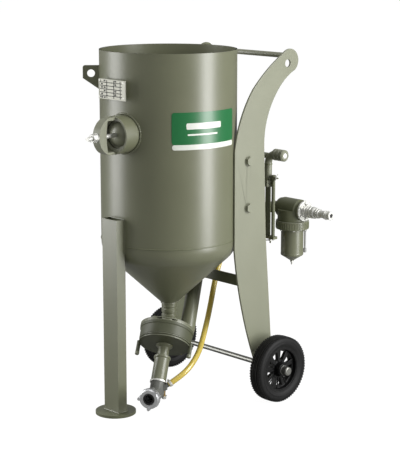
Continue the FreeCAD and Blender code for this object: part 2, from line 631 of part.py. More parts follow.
def coupling():
    arm = rod("tee_radius", "tee_distance - outlet_foot", along(VALVE_TOP, VALVE_AXIS, "outlet_foot"),
              VALVE_AXIS)
    run = rod("tee_radius", "claw_start + tee_back", along(TEE_CENTRE, COUPLING_AXIS, "-tee_back"),
              COUPLING_AXIS)
    port = rod("port_radius + 4", "port_reach - 12", TEE_CENTRE, PORT_AXIS)
    barb = rod("port_radius - 1", "port_reach", TEE_CENTRE, PORT_AXIS)
    bore_down = rod("flow_bore", "tee_distance - outlet_foot + flow_bore - 4",
                    along(VALVE_TOP, VALVE_AXIS, "outlet_foot"), VALVE_AXIS)
    bore_out = rod("flow_bore", "claw_start", TEE_CENTRE, COUPLING_AXIS)
    node(less(less(joined([arm, run, port, barb]), bore_down), bore_out), "coupling_tee")

    shell = turned([("claw_bore", "claw_start"), ("tee_radius", "claw_start"),
                    ("tee_radius", "claw_start + 8"), ("claw_radius - 4", "claw_start + 14"),
                    ("claw_radius", "claw_start + 17"), ("claw_radius", "claw_face - 3"),
                    ("claw_radius - 3", "claw_face"), ("claw_recess", "claw_face"),
                    ("claw_recess", "claw_face - 8"), ("claw_bore", "claw_face - 8")],
                   TEE_CENTRE, COUPLING_AXIS)
    lugs = []
    level = direction(SIZES["coupling_azimuth"] + 90)
    for turn in (45, 180, 270):
        angle = math.radians(turn)
        across = [math.cos(angle) * part for part in level]
        across[2] += math.sin(angle)
        lug_at = along(along(TEE_CENTRE, COUPLING_AXIS, "claw_face - 12"), across, "claw_radius - 1")
        lugs.append(rod("6", "20", lug_at, COUPLING_AXIS))
    passage = rod("claw_recess", "30", along(TEE_CENTRE, COUPLING_AXIS, "claw_face - 8"),
                  COUPLING_AXIS)
    node(less(joined([shell] + lugs), passage), "claw_coupling")
    node(tube("claw_recess", "claw_bore", "claw_face - 8", "claw_face + 2", TEE_CENTRE,
              COUPLING_AXIS), "coupling_gasket")


# ---------------------------------------------------------------- pusher line

def hose_route():
    """The hose's points from the tee's port up behind the cone, from the vessel's axis."""
    leaving = [tuple(value(text) for text in along(TEE_CENTRE, PORT_AXIS, distance))
               for distance in ("port_reach", "port_reach + hose_lead")]
    chosen = [(150, -40, 153), (139, 2, 177), (121, 43, 203), (97, 82, 236), (71, 128, 291),
              (45, 172, 351), (22, 210, 412), (8, 244, 470), (0, 278, 532)]
    end = (0, value("choke_y"), value("choke_low"))
    return leaving + chosen + [end]


def pusher_line():
    path = arc_path(hose_route())
    radius = value("hose_radius")
    first = path.Edges[0]
    heading = first.tangentAt(first.FirstParameter)
    ring = Part.Wire([Part.makeCircle(radius, first.valueAt(first.FirstParameter), heading)])
    solid = path.makePipeShell([ring], True, False)
    volume = math.pi * radius ** 2 * path.Length
    print(f"hose: {path.Length:.0f} mm long, volume {solid.Volume / volume:.4f} of section x length")
    hose = doc.addObject("Part::Feature", "hose")
    hose.Shape = solid
    put_at(hose, (0, 0, 0))
    node(hose, "pusher_hose")

    start = along(TEE_CENTRE, PORT_AXIS, "port_reach")
    route = [FreeCAD.Vector(*point) for point in hose_route()]
    leaving = (route[1] - route[0]).normalize()
    arriving = (route[-2] - route[-1]).normalize()
    lower = tube("hose_radius + 2", "hose_radius", "3", "13", start, tuple(leaving))
    upper = tube("hose_radius + 2", "hose_radius", "3", "13", (0, "choke_y", "choke_low"),
                 tuple(arriving))
    node(grouped([lower, upper]), "hose_clamps")

    body = turned([("0", "choke_low"), ("8", "choke_low"), ("8", "choke_low + 8"),
                   ("13", "choke_low + 9"), ("13", "choke_high - 4"), ("0", "choke_high - 4")],
                  (0, "choke_y", 0))
    pivot = (0, "choke_y", "(choke_low + choke_high) / 2")
    stem = rod("stem_turn", "lever_back + lever_thick + 2", pivot, RIGHT)
    node(joined([body, stem]), "pusher_choke")
    hub = tube("stem_turn + 4", "stem_turn + 0.05", "lever_back", "lever_back + lever_thick",
               pivot, RIGHT)
    arm = block("lever_thick", "14", "lever_length",
                ("lever_back + lever_thick / 2", "choke_y", f"{pivot[2]} + stem_turn - 2"))
    stem_hole = rod("stem_turn + 0.05", "lever_back + 2 * lever_thick", pivot, RIGHT)
    node(less(joined([hub, arm]), stem_hole), "choke_lever")

    level = "pusher_height"
    route = [(0, value("inlet_y - inlet_body"), value(level)),
             (0, value("choke_y"), value(level)), (0, value("choke_y"), value("choke_high - 4"))]
    elbow_path = arc_path(route)
    ring = Part.Wire([Part.makeCircle(8, FreeCAD.Vector(*route[0]), FreeCAD.Vector(0, -1, 0))])
    pipe = doc.addObject("Part::Feature", "pipe")
    pipe.Shape = elbow_path.makePipeShell([ring], True, False)
    put_at(pipe, (0, 0, 0))
    node(pipe, "pusher_pipe")


# ---------------------------------------------------------------- air inlet and exhaust

def inlet_valve():
    centre = (0, "inlet_y", 0)
    body = turned([("0", "inlet_low"), ("inlet_body - 8", "inlet_low"),
                   ("inlet_body", "inlet_low + 8"), ("inlet_body", "inlet_high - 110"),
                   ("inlet_body + 12", "inlet_high - 104"), ("inlet_body + 12", "inlet_high - 84"),
                   ("inlet_body", "inlet_high - 78"), ("inlet_body", "inlet_high - 12"),
                   ("inlet_body - 12", "inlet_high"), ("0", "inlet_high"),
                   ("0", "inlet_high - 12"), ("inlet_bore", "inlet_high - 12"),
                   ("inlet_bore", "inlet_low + 12"), ("0", "inlet_low + 12")], centre)
    node(body, "inlet_valve")
    node(rod("plunger_radius", "24", (0, "inlet_y", "inlet_high - 90")), "inlet_plunger")


def exhaust_nut():
    return hexagon("exhaust_radius + 3", "26", ("exhaust_x", "exhaust_y", "drop_foot"))


def exhaust():
    x, y, top = (value(text) for text in ("exhaust_x", "exhaust_y", "exhaust_height"))
    bend = value("exhaust_bend")
    start = FreeCAD.Vector(x, y, value("drop_foot + 26"))
    low = FreeCAD.Vector(x, y, top - bend)
    middle = FreeCAD.Vector(x + bend * (1 - math.cos(math.pi / 4)), y,
                            top - bend * (1 - math.sin(math.pi / 4)))
    high = FreeCAD.Vector(x + bend, y, top)
    path = Part.Wire([Part.LineSegment(start, low).toShape(), Part.Arc(low, middle, high).toShape()])
    ring = Part.Wire([Part.makeCircle(value("exhaust_radius"), start, FreeCAD.Vector(0, 0, 1))])
    swept = doc.addObject("Part::Feature", "bend")
    swept.Shape = path.makePipeShell([ring], True, False)
    put_at(swept, (0, 0, 0))
    header = rod("11", "exhaust_x - inlet_body", ("inlet_body", "exhaust_y", "exhaust_height - 8"),
                 RIGHT)
    node(joined([swept, exhaust_nut(), header]), "exhaust_pipe")

    rib = "silencer_radius"
    valley = "silencer_radius - 4"
    node(turned([("0", "silencer_start"), (rib, "silencer_start"), (rib, "silencer_start + 9"),
                 (valley, "silencer_start + 12"), (valley, "silencer_start + 17"),
                 (rib, "silencer_start + 20"), (rib, "silencer_start + 29"),
                 (valley, "silencer_start + 32"), (valley, "silencer_start + 36"),
                 (rib, "silencer_start + 39"), (rib, "silencer_end - 5"),
                 ("silencer_radius - 5", "silencer_end"), ("12", "silencer_end"),
                 ("12", "silencer_end - 20"), ("0", "silencer_end - 20")],
                (0, "exhaust_y", "exhaust_height"), RIGHT), "exhaust_silencer")


def wing_cock(at, axis, across):
    """A small two-winged handle; axis is its spindle, across lies square to it along the wings."""
    hub = tube("6", "spindle_radius + 0.05", "1", "8", at, axis)
    wings = [turned([("0", "5"), ("2.5", "5"), ("2.5", "15"), ("1.5", "17"), ("0", "17")],
                    along(at, axis, "5"), tuple(side * part for part in across))
             for side in (1, -1)]
    return joined([hub] + wings)


def control_tubes():
    near = rod("near_radius", "drop_foot + 26 - tube_foot", ("tube_near", "exhaust_y", "tube_foot"))
    far = rod("far_radius", "drop_foot - tube_foot", ("exhaust_x", "exhaust_y", "tube_foot"))
    top = rod("9", "22", ("tube_near", "exhaust_y", "drop_foot + 24"))
    link = rod("5", "tube_near - exhaust_x", ("exhaust_x", "exhaust_y", "drop_foot + 12"), RIGHT)
    foot = block("54", "22", "10", ("(tube_near + exhaust_x) / 2", "exhaust_y", "tube_foot - 10"))
    low_spindle = rod("spindle_radius", "20", ("exhaust_x + 14", "exhaust_y", "tube_foot - 28"))
    high_spindle = rod("spindle_radius", "24", ("tube_near", "exhaust_y", "drop_foot + 36"), RIGHT)
    node(less(joined([near, far, top, link, foot, low_spindle, high_spindle]), exhaust_nut()),
         "control_tubes")
    node(wing_cock(("exhaust_x + 14", "exhaust_y", "tube_foot - 11"), DOWN, (0.5, 0.8660254, 0)),
         "lower_wing")
    node(wing_cock(("tube_near + 11", "exhaust_y", "drop_foot + 36"), RIGHT,
                   (0, 0.5, 0.8660254)), "upper_wing")


def separator():
    centre = ("separator_x", "separator_y", 0)
    across = (0, "separator_y", "separator_height")
    right_face = "(separator_x + separator_half)"
    left_face = "(separator_x - separator_half)"
    barrel = turned([("0", left_face), ("separator_radius - 4", left_face),
                     ("separator_radius - 4", "separator_x - 48"),
                     ("separator_radius", "separator_x - 44"),
                     ("separator_radius", "separator_x + 40"),
                     ("separator_radius - 5", "separator_x + 45"),
                     ("separator_radius - 5", right_face), ("0", right_face)], across, RIGHT)
    skirt = rod("clamp_radius - 6", "separator_height - clamp_high",
                ("separator_x", "separator_y", "clamp_high"))
    feed = rod("17", "60", ("separator_x - 85", "separator_y", "separator_height"), RIGHT)
    turn = block("34", "separator_y - inlet_y + 17", "34",
                 ("separator_x - 86", "(separator_y + inlet_y) / 2", "separator_height - 17"))
    back = rod("14", "separator_x - 86 - inlet_body + 3",
               ("inlet_body - 3", "inlet_y", "separator_height"), RIGHT)
    body_wall = rod("inlet_body", "200", (0, "inlet_y", "separator_height - 100"))
    passage = rod("inlet_bore - 20", "80", ("separator_x + 20", "separator_y", "separator_height"),
                  RIGHT)
    node(less(less(joined([barrel, skirt, feed, turn, back]), body_wall), passage),
         "separator_head")

    wall = "bowl_radius - 3"
    node(turned([("clamp_radius", "clamp_low"), ("clamp_radius", "clamp_high"),
                 (wall, "clamp_high"), (wall, "bowl_low + 2"), ("0", "bowl_tip + 4"),
                 ("0", "bowl_tip"), ("6", "bowl_tip"), ("bowl_radius", "bowl_low"),
                 ("bowl_radius", "clamp_low")], centre), "separator_bowl")
    node(turned([("0", "bowl_tip - 16"), ("3.5", "bowl_tip - 16"), ("4", "bowl_tip - 6"),
                 ("7", "bowl_tip - 5"), ("7", "bowl_tip"), ("0", "bowl_tip")], centre),
         "separator_drain")

    ring = tube("flange_ring", "air_bore", "0", "8", (right_face, "separator_y", "separator_height"),
                RIGHT)
    nut = hexagon("24", "14", (f"{right_face} + 8", "separator_y", "separator_height"), RIGHT,
                  bore="air_bore")
    nipple = turned([("air_bore", f"{right_face} + 22"), ("22", f"{right_face} + 22"),
                     ("22", f"{right_face} + 60"), ("18", f"{right_face} + 64"),
                     ("18", f"{right_face} + 82"), ("14", f"{right_face} + 85"),
                     ("14", "nipple_tip - 34"), ("17", "nipple_tip - 30"),
                     ("17", "nipple_tip - 18"), ("15", "nipple_tip - 16"),
                     ("15", "nipple_tip - 6"), ("16.5", "nipple_tip - 5"),
                     ("16.5", "nipple_tip"), ("air_bore", "nipple_tip")], across, RIGHT)
    node(joined([ring, nut, nipple]), "inlet_coupling")

    out = direction(SIZES["sight_azimuth"])
    side = along(("separator_x", "separator_y", 0), out, "sight_reach")
    node(turned([("0", "bowl_low + 8"), ("sight_radius + 2", "bowl_low + 8"),
                 ("sight_radius + 2", "bowl_low + 24"), ("sight_radius", "bowl_low + 25"),
                 ("sight_radius", "clamp_low - 14"), ("sight_radius + 2", "clamp_low - 13"),
                 ("sight_radius + 2", "clamp_low"), ("0", "clamp_low")], side), "sight_tube")


vessel()
popup()
handway()
fittings()
leg()
side_plates()
cross_members()
axle_set()
wheel("right", 1)
wheel("left", -1)
metering_valve()
coupling()
pusher_line()
inlet_valve()
exhaust()
control_tubes()
separator()
doc.recompute()


# ---------------------------------------------------------------- check and export

failed = [item.Label for item in doc.Objects if {"Invalid", "Error"} & set(item.State)]
if failed:
    raise SystemExit(f"not built: {failed}")
for piece in nodes:
    if piece.Shape.isNull() or not piece.Shape.isValid():
        raise SystemExit(f"bad shape: {piece.Label}")
if len(nodes) > 60:
    raise SystemExit(f"too many nodes: {len(nodes)}")

os.makedirs("parts", exist_ok=True)
for piece in nodes:
    piece.Shape.exportStep(f"parts/{piece.Label}.step")
print(f"{len(nodes)} nodes written")
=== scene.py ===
"""Abrasive blast pot: looks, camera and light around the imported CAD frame.  Metres, +Z up."""
import json
import math

import bpy
from mathutils import Matrix, Vector


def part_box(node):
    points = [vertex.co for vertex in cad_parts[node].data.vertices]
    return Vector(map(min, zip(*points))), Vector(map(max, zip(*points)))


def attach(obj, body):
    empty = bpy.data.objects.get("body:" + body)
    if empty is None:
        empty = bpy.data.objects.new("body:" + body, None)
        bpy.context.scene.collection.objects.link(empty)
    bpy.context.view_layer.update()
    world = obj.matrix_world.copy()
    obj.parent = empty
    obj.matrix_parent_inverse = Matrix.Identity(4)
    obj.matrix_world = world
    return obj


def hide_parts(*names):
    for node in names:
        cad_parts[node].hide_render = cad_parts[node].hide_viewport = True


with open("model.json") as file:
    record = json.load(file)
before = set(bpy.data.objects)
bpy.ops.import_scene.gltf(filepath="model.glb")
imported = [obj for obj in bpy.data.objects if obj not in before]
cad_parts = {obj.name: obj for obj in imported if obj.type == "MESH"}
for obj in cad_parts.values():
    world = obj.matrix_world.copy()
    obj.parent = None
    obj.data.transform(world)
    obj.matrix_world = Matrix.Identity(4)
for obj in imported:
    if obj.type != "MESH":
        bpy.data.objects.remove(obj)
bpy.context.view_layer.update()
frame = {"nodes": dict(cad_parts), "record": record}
NODES = frame["nodes"]
low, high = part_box("tank_shell")
TANK = Vector(((low.x + high.x) / 2, (low.y + high.y) / 2, 0.0))
TANK_RADIUS = (high.x - low.x) / 2
SEAM = low.z
RIM = high.z
UP = Vector((0, 0, 1))


# ---------------------------------------------------------------- places

def at(x, y, z):
    """A point given from the vessel's axis."""
    return TANK + Vector((x, y, z))


def leaning(azimuth, tilt=90.0):
    """Unit vector tilt degrees from straight down, towards azimuth (0 is the front, 90 is +X)."""
    lean, turn = math.radians(tilt), math.radians(azimuth)
    return Vector((math.sin(lean) * math.sin(turn), -math.sin(lean) * math.cos(turn),
                   -math.cos(lean)))


def middle(node):
    lowest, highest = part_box(node)
    return (lowest + highest) / 2


def frame_along(axis):
    """Two unit vectors square to axis and to each other."""
    axis = axis.normalized()
    side = UP.cross(axis) if abs(axis.z) < 0.99 else Vector((1, 0, 0))
    side.normalize()
    return side, axis.cross(side)


VALVE_TOP = at(0, 0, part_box("outlet_socket")[0].z)
VALVE_AXIS = leaning(34, 39)
COUPLING_AXIS = leaning(30)
ACROSS = leaning(124)
BEYOND = VALVE_AXIS.cross(ACROSS)
PORT_AXIS = Vector((0.4, 0.76, 0.512)).normalized()
HANDWAY_OUT = leaning(9)
HANDWAY_HEIGHT = 1.032
TEE = VALVE_TOP + VALVE_AXIS * 0.306
RIGHT = Vector((1, 0, 0))
SIDES = (("right", 1), ("left", -1))
PLATE_FACE = 0.2221               # inner face of a side plate, from the mid-plane
BOLT_Y, BOLT_LEVELS = 0.186, (0.911, 0.738)
AXLE_Y, AXLE_HEIGHT = 0.272, 0.125
INLET_Y = 0.405                   # axis of the inlet valve, and of the grip
SEPARATOR_X, SEPARATOR_Y = 0.159, 0.494
CHOKE_Y = 0.278
HOSE_DIAMETER = 0.021


# ---------------------------------------------------------------- camera and hose

def make_camera():
    data = bpy.data.cameras.new("camera")
    data.sensor_width = 36
    data.lens = 112.7
    camera = bpy.data.objects.new("camera", data)
    bpy.context.scene.collection.objects.link(camera)
    camera.location = at(3.918, -3.459, 1.716)
    camera.rotation_euler = (math.radians(90 - 11.57), 0, math.radians(47.3))
    bpy.context.scene.camera = camera


def make_hose():
    """The clear hose from the tee's port up behind the cone."""
    route = [tuple(TEE - TANK + PORT_AXIS * reach) for reach in (0.053, 0.099)]
    route += [(0.150, -0.040, 0.153), (0.139, 0.002, 0.177), (0.121, 0.043, 0.203),
              (0.097, 0.082, 0.236), (0.071, 0.128, 0.291), (0.045, 0.172, 0.351),
              (0.022, 0.210, 0.412), (0.008, 0.244, 0.470), (0.0, 0.278, 0.532),
              (0.0, 0.278, 0.598)]
    curve = bpy.data.curves.new("pusher_hose_clear", "CURVE")
    curve.dimensions = "3D"
    curve.bevel_depth = HOSE_DIAMETER / 2
    curve.bevel_resolution = 8
    curve.resolution_u = 12
    curve.use_fill_caps = True
    spline = curve.splines.new("NURBS")
    spline.points.add(len(route) - 1)
    for point, place in zip(spline.points, route):
        point.co = (*at(*place), 1)
    spline.order_u = 3
    spline.use_endpoint_u = True
    hose = bpy.data.objects.new("pusher_hose_clear", curve)
    bpy.context.scene.collection.objects.link(hose)
    hose.data.materials.append(MATERIALS["hose"])
    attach(hose, "pot")
    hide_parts("pusher_hose")


# ---------------------------------------------------------------- materials

def linear(red, green, blue):
    """An 0-255 sRGB colour as linear RGBA."""
    parts = [part / 255 for part in (red, green, blue)]
    parts = [part / 12.92 if part < 0.04045 else ((part + 0.055) / 1.055) ** 2.4 for part in parts]
    return (*parts, 1.0)


def surface(name, colour, rough=0.4, metal=0.0, coat=0.0, specular=0.5, mottle=0.06,
            grain=(180.0, 0.02), edge_wear_and_highlight=0.0, rough_spread=0.08):
    """Principled surface: mottled by soft noise, edges lightened partly as wear and partly as a
    painted highlight, fine grain bump.
    """
    material = bpy.data.materials.new(name)
    material.use_nodes = True
    tree = material.node_tree
    shader = tree.nodes["Principled BSDF"]
    shader.inputs["Metallic"].default_value = metal
    shader.inputs["Coat Weight"].default_value = coat
    shader.inputs["Coat Roughness"].default_value = 0.3
    shader.inputs["Specular IOR Level"].default_value = specular

    def add(kind, **values):
        made = tree.nodes.new(kind)
        for key, value in values.items():
            setattr(made, key, value)
        return made

    def link(source, target):
        tree.links.new(source, target)

    place = add("ShaderNodeTexCoord")
    soft = add("ShaderNodeTexNoise")
    soft.inputs["Scale"].default_value = 9.0
    soft.inputs["Detail"].default_value = 5.0
    link(place.outputs["Object"], soft.inputs["Vector"])
    spread = add("ShaderNodeMapRange")
    spread.inputs["To Min"].default_value = 1 - mottle
    spread.inputs["To Max"].default_value = 1 + mottle
    link(soft.outputs["Fac"], spread.inputs["Value"])
    tint = add("ShaderNodeVectorMath", operation="SCALE")
    tint.inputs[0].default_value = colour[:3]
    link(spread.outputs["Result"], tint.inputs["Scale"])
    last = tint.outputs["Vector"]
    # Sharp edges lightened by pointiness: partly wear, partly a painted highlight.
    if edge_wear_and_highlight:
        shape = add("ShaderNodeNewGeometry")
        edge = add("ShaderNodeMapRange")
        edge.inputs["From Min"].default_value = 0.53
        edge.inputs["From Max"].default_value = 0.62
        edge.inputs["To Max"].default_value = edge_wear_and_highlight
        link(shape.outputs["Pointiness"], edge.inputs["Value"])
        mix = add("ShaderNodeMix", data_type="RGBA")
        link(edge.outputs["Result"], mix.inputs["Factor"])
        link(last, mix.inputs["A"])
        worn_and_lit = tuple(min(1.0, part * 2.2 + 0.03) for part in colour[:3])
        mix.inputs["B"].default_value = (*worn_and_lit, 1)
        last = mix.outputs["Result"]
    link(last, shader.inputs["Base Color"])
    gloss = add("ShaderNodeMapRange")
    gloss.inputs["To Min"].default_value = max(0.03, rough - rough_spread / 2)
    gloss.inputs["To Max"].default_value = rough + rough_spread / 2
    link(soft.outputs["Fac"], gloss.inputs["Value"])
    link(gloss.outputs["Result"], shader.inputs["Roughness"])
    fine = add("ShaderNodeTexNoise")
    fine.inputs["Scale"].default_value = grain[0]
    fine.inputs["Detail"].default_value = 3.0
    link(place.outputs["Object"], fine.inputs["Vector"])
    bump = add("ShaderNodeBump")
    bump.inputs["Strength"].default_value = grain[1]
    bump.inputs["Distance"].default_value = 0.002
    link(fine.outputs["Fac"], bump.inputs["Height"])
    link(bump.outputs["Normal"], shader.inputs["Normal"])
    return material


def clear_hose():
    material = surface("hose_amber", linear(216, 192, 88), rough=0.18, mottle=0.05,
                       grain=(60.0, 0.02), coat=0.6)
    shader = material.node_tree.nodes["Principled BSDF"]
    shader.inputs["Transmission Weight"].default_value = 0.2
    shader.inputs["IOR"].default_value = 1.45
    return material


def make_materials():
    return {
        "paint": surface("olive_paint", linear(103, 105, 83), rough=0.4, coat=0.45,
                         grain=(420.0, 0.05)),
        # Darker copy of the olive paint: painted shade.
        "dark_paint": surface("olive_paint_shaded", linear(92, 95, 71), rough=0.48, coat=0.12,
                              edge_wear_and_highlight=0.35, grain=(420.0, 0.05)),
        # Darkest copy of the olive paint: painted shade.
        "deep_shade_paint": surface("olive_paint_deep_shade", linear(74, 77, 57), rough=0.5, coat=0.05,
                              edge_wear_and_highlight=0.35, grain=(420.0, 0.05)),
        # Lighter copy of the olive paint: painted light.
        "light_paint": surface("olive_paint_lit", linear(123, 125, 106), rough=0.4, coat=0.25,
                               grain=(420.0, 0.05)),
        "grey": surface("grey_casting", linear(92, 93, 88), rough=0.45, edge_wear_and_highlight=0.2,
                        grain=(300.0, 0.12)),
        "rubber": surface("black_rubber", linear(16, 16, 16), rough=0.6, grain=(250.0, 0.08)),
        "tyre": surface("tyre_rubber", linear(6, 6, 6), rough=0.6, mottle=0.12, specular=0.3,
                        grain=(200.0, 0.12)),
        "plastic": surface("black_plastic", linear(5, 5, 5), rough=0.45, specular=0.3,
                           grain=(350.0, 0.06)),
        "nylon": surface("grey_nylon", linear(150, 150, 148), rough=0.45),
        "zinc": surface("zinc_plate", linear(212, 212, 207), rough=0.46, metal=0.6, mottle=0.1,
                        grain=(260.0, 0.06)),
        "steel": surface("ground_steel", linear(132, 132, 127), rough=0.36, metal=0.9,
                         mottle=0.08, grain=(320.0, 0.05)),
        "casting": surface("plated_casting", linear(205, 206, 208), rough=0.34, metal=0.85,
                           mottle=0.12, grain=(240.0, 0.15)),
        "plate": surface("plate_aluminium", linear(196, 196, 184), rough=0.62, metal=0.15,
                         grain=(300.0, 0.03)),
        "ink": surface("plate_ink", linear(30, 30, 26), rough=0.6),
        "green": surface("label_green", linear(20, 100, 52), rough=0.34, coat=0.3, mottle=0.02,
                         grain=(100.0, 0.005)),
        "white": surface("label_white", linear(214, 216, 208), rough=0.35, coat=0.2, mottle=0.01,
                         grain=(100.0, 0.005)),
        "brass": surface("dull_brass", linear(190, 158, 96), rough=0.35, metal=1.0, mottle=0.1,
                         grain=(260.0, 0.06)),
        "hose": clear_hose(),
    }


MATERIALS = make_materials()

SLOT_LOOKS = {
    "paint": "paint", "light_paint": "light_paint", "dark_paint": "dark_paint",
    "grey_metal": "grey",
    "popup_rubber": "rubber", "rubber": "rubber", "zinc": "zinc", "steel": "steel",
    "casting": "casting", "plate_metal": "plate", "label_green": "green", "tyre": "tyre",
    "wheel_plastic": "plastic", "nylon": "nylon", "hose": "hose", "brass": "brass",
}


# left_side_plate and foot_disc take the darker paint copy, valve_housing and adjuster_ring the
# darkest: painted shade. handway_cover, exhaust_pipe and exhaust_silencer take the lighter copy:
# painted light.
NODE_LOOKS = {"handway_cover": "light_paint", "left_side_plate": "dark_paint",
              "hub_caps": "steel", "lower_head": "paint", "valve_housing": "deep_shade_paint",
              "adjuster_ring": "deep_shade_paint", "foot_disc": "dark_paint",
              "exhaust_pipe": "light_paint", "exhaust_silencer": "light_paint"}
FLAT_NODES = ("right_side_plate", "left_side_plate", "data_plate")


# ---------------------------------------------------------------- mesh helpers

def make_piece(name, vertices, faces, look, body="pot", slot=None, replaces=(), smooth=True):
    mesh = bpy.data.meshes.new(name)
    mesh.from_pydata([tuple(vertex) for vertex in vertices], [], faces)
    mesh.update()
    piece = bpy.data.objects.new(name, mesh)
    bpy.context.scene.collection.objects.link(piece)
    piece.data.materials.append(MATERIALS[look])
    if smooth:
        soften(piece)
    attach(piece, body)
    if replaces:
        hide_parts(*replaces)
    return piece


def soften(piece, angle=35.0):
    """Smooth shading that keeps edges sharper than angle."""
    mesh = piece.data
    mesh.polygons.foreach_set("use_smooth", [True] * len(mesh.polygons))
    mesh.set_sharp_from_angle(angle=math.radians(angle))


def bevel(piece, width=0.0008, segments=2, angle=40.0):
    modifier = piece.modifiers.new("edges", "BEVEL")
    modifier.width = width
    modifier.segments = segments
    modifier.limit_method = "ANGLE"
    modifier.angle_limit = math.radians(angle)
    modifier.use_clamp_overlap = True
    return modifier


def lathe(name, profile, origin, axis, look, segments=96, closed=True, **kept):
    """Turns (radius, distance) points about axis; a closed profile makes a ring, an open one
    that starts and ends on the axis makes a solid."""
    side, other = frame_along(axis)
    axis = axis.normalized()
    vertices, rings = [], []
    for radius, distance in profile:
        if radius <= 1e-7:
            rings.append([len(vertices)])
            vertices.append(origin + axis * distance)
            continue
        rings.append(list(range(len(vertices), len(vertices) + segments)))
        for step in range(segments):
            angle = 2 * math.pi * step / segments
            vertices.append(origin + axis * distance
                            + (side * math.cos(angle) + other * math.sin(angle)) * radius)
    faces = []
    pairs = list(zip(rings, rings[1:]))
    if closed and len(rings[0]) > 1:
        pairs.append((rings[-1], rings[0]))
    for first, second in pairs:
        for step in range(segments):
            following = (step + 1) % segments
            if len(first) == 1 and len(second) == 1:
                continue
            if len(first) == 1:
                faces.append((first[0], second[following], second[step]))
            elif len(second) == 1:
                faces.append((first[step], first[following], second[0]))
            else:
                faces.append((first[step], first[following], second[following], second[step]))
    return make_piece(name, vertices, faces, look, **kept)


def sweep(name, path, radius, look, closed=False, sides=10, ripple=0.0, **kept):
    """A round bead or rod along points, its radius rippled from step to step."""
    vertices, faces = [], []
    count = len(path)
    for index, place in enumerate(path):
        before = path[index - 1] if closed or index else place
        after = path[(index + 1) % count] if closed or index < count - 1 else place
        side, other = frame_along(after - before)
        local = radius * (1 + ripple * math.sin(index * 2.1))
        for step in range(sides):
            angle = 2 * math.pi * step / sides
            vertices.append(place + (side * math.cos(angle) + other * math.sin(angle)) * local)
    last = count if closed else count - 1
    for index in range(last):
        first, second = index * sides, ((index + 1) % count) * sides
        for step in range(sides):
            following = (step + 1) % sides
            faces.append((first + step, first + following, second + following, second + step))
    if not closed:
        faces.append(tuple(reversed(range(sides))))
        faces.append(tuple(range((count - 1) * sides, count * sides)))
    return make_piece(name, vertices, faces, look, **kept)


def hex_bolt(name, place, axis, flats, height, look, washer=1.6, shank=0.0, **kept):
    """A chamfered hexagon head on a washer, and a threaded end standing out of it if asked."""
    side, other = frame_along(axis)
    axis = axis.normalized()
    corner = flats / math.cos(math.radians(30))
    vertices, faces = [], []
    levels = [(corner, 0.0), (corner, height * 0.78), (flats * 0.96, height)]
    for radius, distance in levels:
        for step in range(6):
            angle = math.radians(60 * step)
            vertices.append(place + axis * distance
                            + (side * math.cos(angle) + other * math.sin(angle)) * radius)
    faces.append(tuple(reversed(range(6))))
    for level in range(2):
        for step in range(6):
            following = (step + 1) % 6
            first = level * 6
            faces.append((first + step, first + following, first + 6 + following,
                          first + 6 + step))
    faces.append(tuple(range(12, 18)))
    head = make_piece(name, vertices, faces, look, smooth=False, **kept)
    bevel(head, width=flats * 0.05)
    if washer:
        lathe(f"{name}_washer", [(flats * 0.4, -0.0002), (flats * washer, -0.0002),
                                 (flats * washer, 0.0012), (flats * 0.4, 0.0012)],
              place - axis * 0.0002, axis, look, segments=40, **kept)
    if shank:
        profile = [(0.0, height - 0.001)]
        turns = max(3, int(shank / 0.0016))
        for turn in range(turns):
            start = height + shank * turn / turns
            profile += [(flats * 0.56, start), (flats * 0.50, start + shank / turns / 2)]
        profile += [(flats * 0.45, height + shank), (0.0, height + shank)]
        lathe(f"{name}_thread", profile, place, axis, look, segments=28, closed=False, **kept)
    return head


def curved_panel(name, azimuths, heights, corner, radii, look, **kept):
    """A thin panel wrapped on the vessel with rounded corners."""
    (start, end), (bottom, top), (inner, outer) = azimuths, heights, radii
    arc = math.radians(end - start) * outer
    columns = 120
    vertices, faces = [], []
    for column in range(columns + 1):
        run = arc * column / columns
        edge = min(run, arc - run)
        inset = 0.0
        if edge < corner:
            inset = corner - math.sqrt(max(0.0, corner ** 2 - (corner - edge) ** 2))
        angle = math.radians(start) + run / outer
        out = Vector((math.sin(angle), -math.cos(angle), 0))
        for radius, height in ((inner, bottom + inset), (inner, top - inset),
                               (outer, top - inset), (outer, bottom + inset)):
            vertices.append(TANK + out * radius + UP * height)
    for column in range(columns):
        first = column * 4
        for step in range(4):
            following = (step + 1) % 4
            faces.append((first + step, first + 4 + step, first + 4 + following,
                          first + following))
    faces.append((0, 1, 2, 3))
    faces.append(tuple(reversed(range(columns * 4, columns * 4 + 4))))
    return make_piece(name, vertices, faces, look, **kept)


def brick(name, centre, size, axes, look, **kept):
    """A small bevelled bar: size along each of three unit axes."""
    corners = [centre + axes[0] * (size[0] / 2 * one) + axes[1] * (size[1] / 2 * two)
               + axes[2] * (size[2] / 2 * three)
               for one in (-1, 1) for two in (-1, 1) for three in (-1, 1)]
    faces = [(0, 1, 3, 2), (4, 6, 7, 5), (0, 4, 5, 1), (2, 3, 7, 6), (0, 2, 6, 4), (1, 5, 7, 3)]
    piece = make_piece(name, corners, faces, look, smooth=False, **kept)
    bevel(piece, width=min(size) * 0.25)
    return piece


# ---------------------------------------------------------------- finish of the CAD nodes

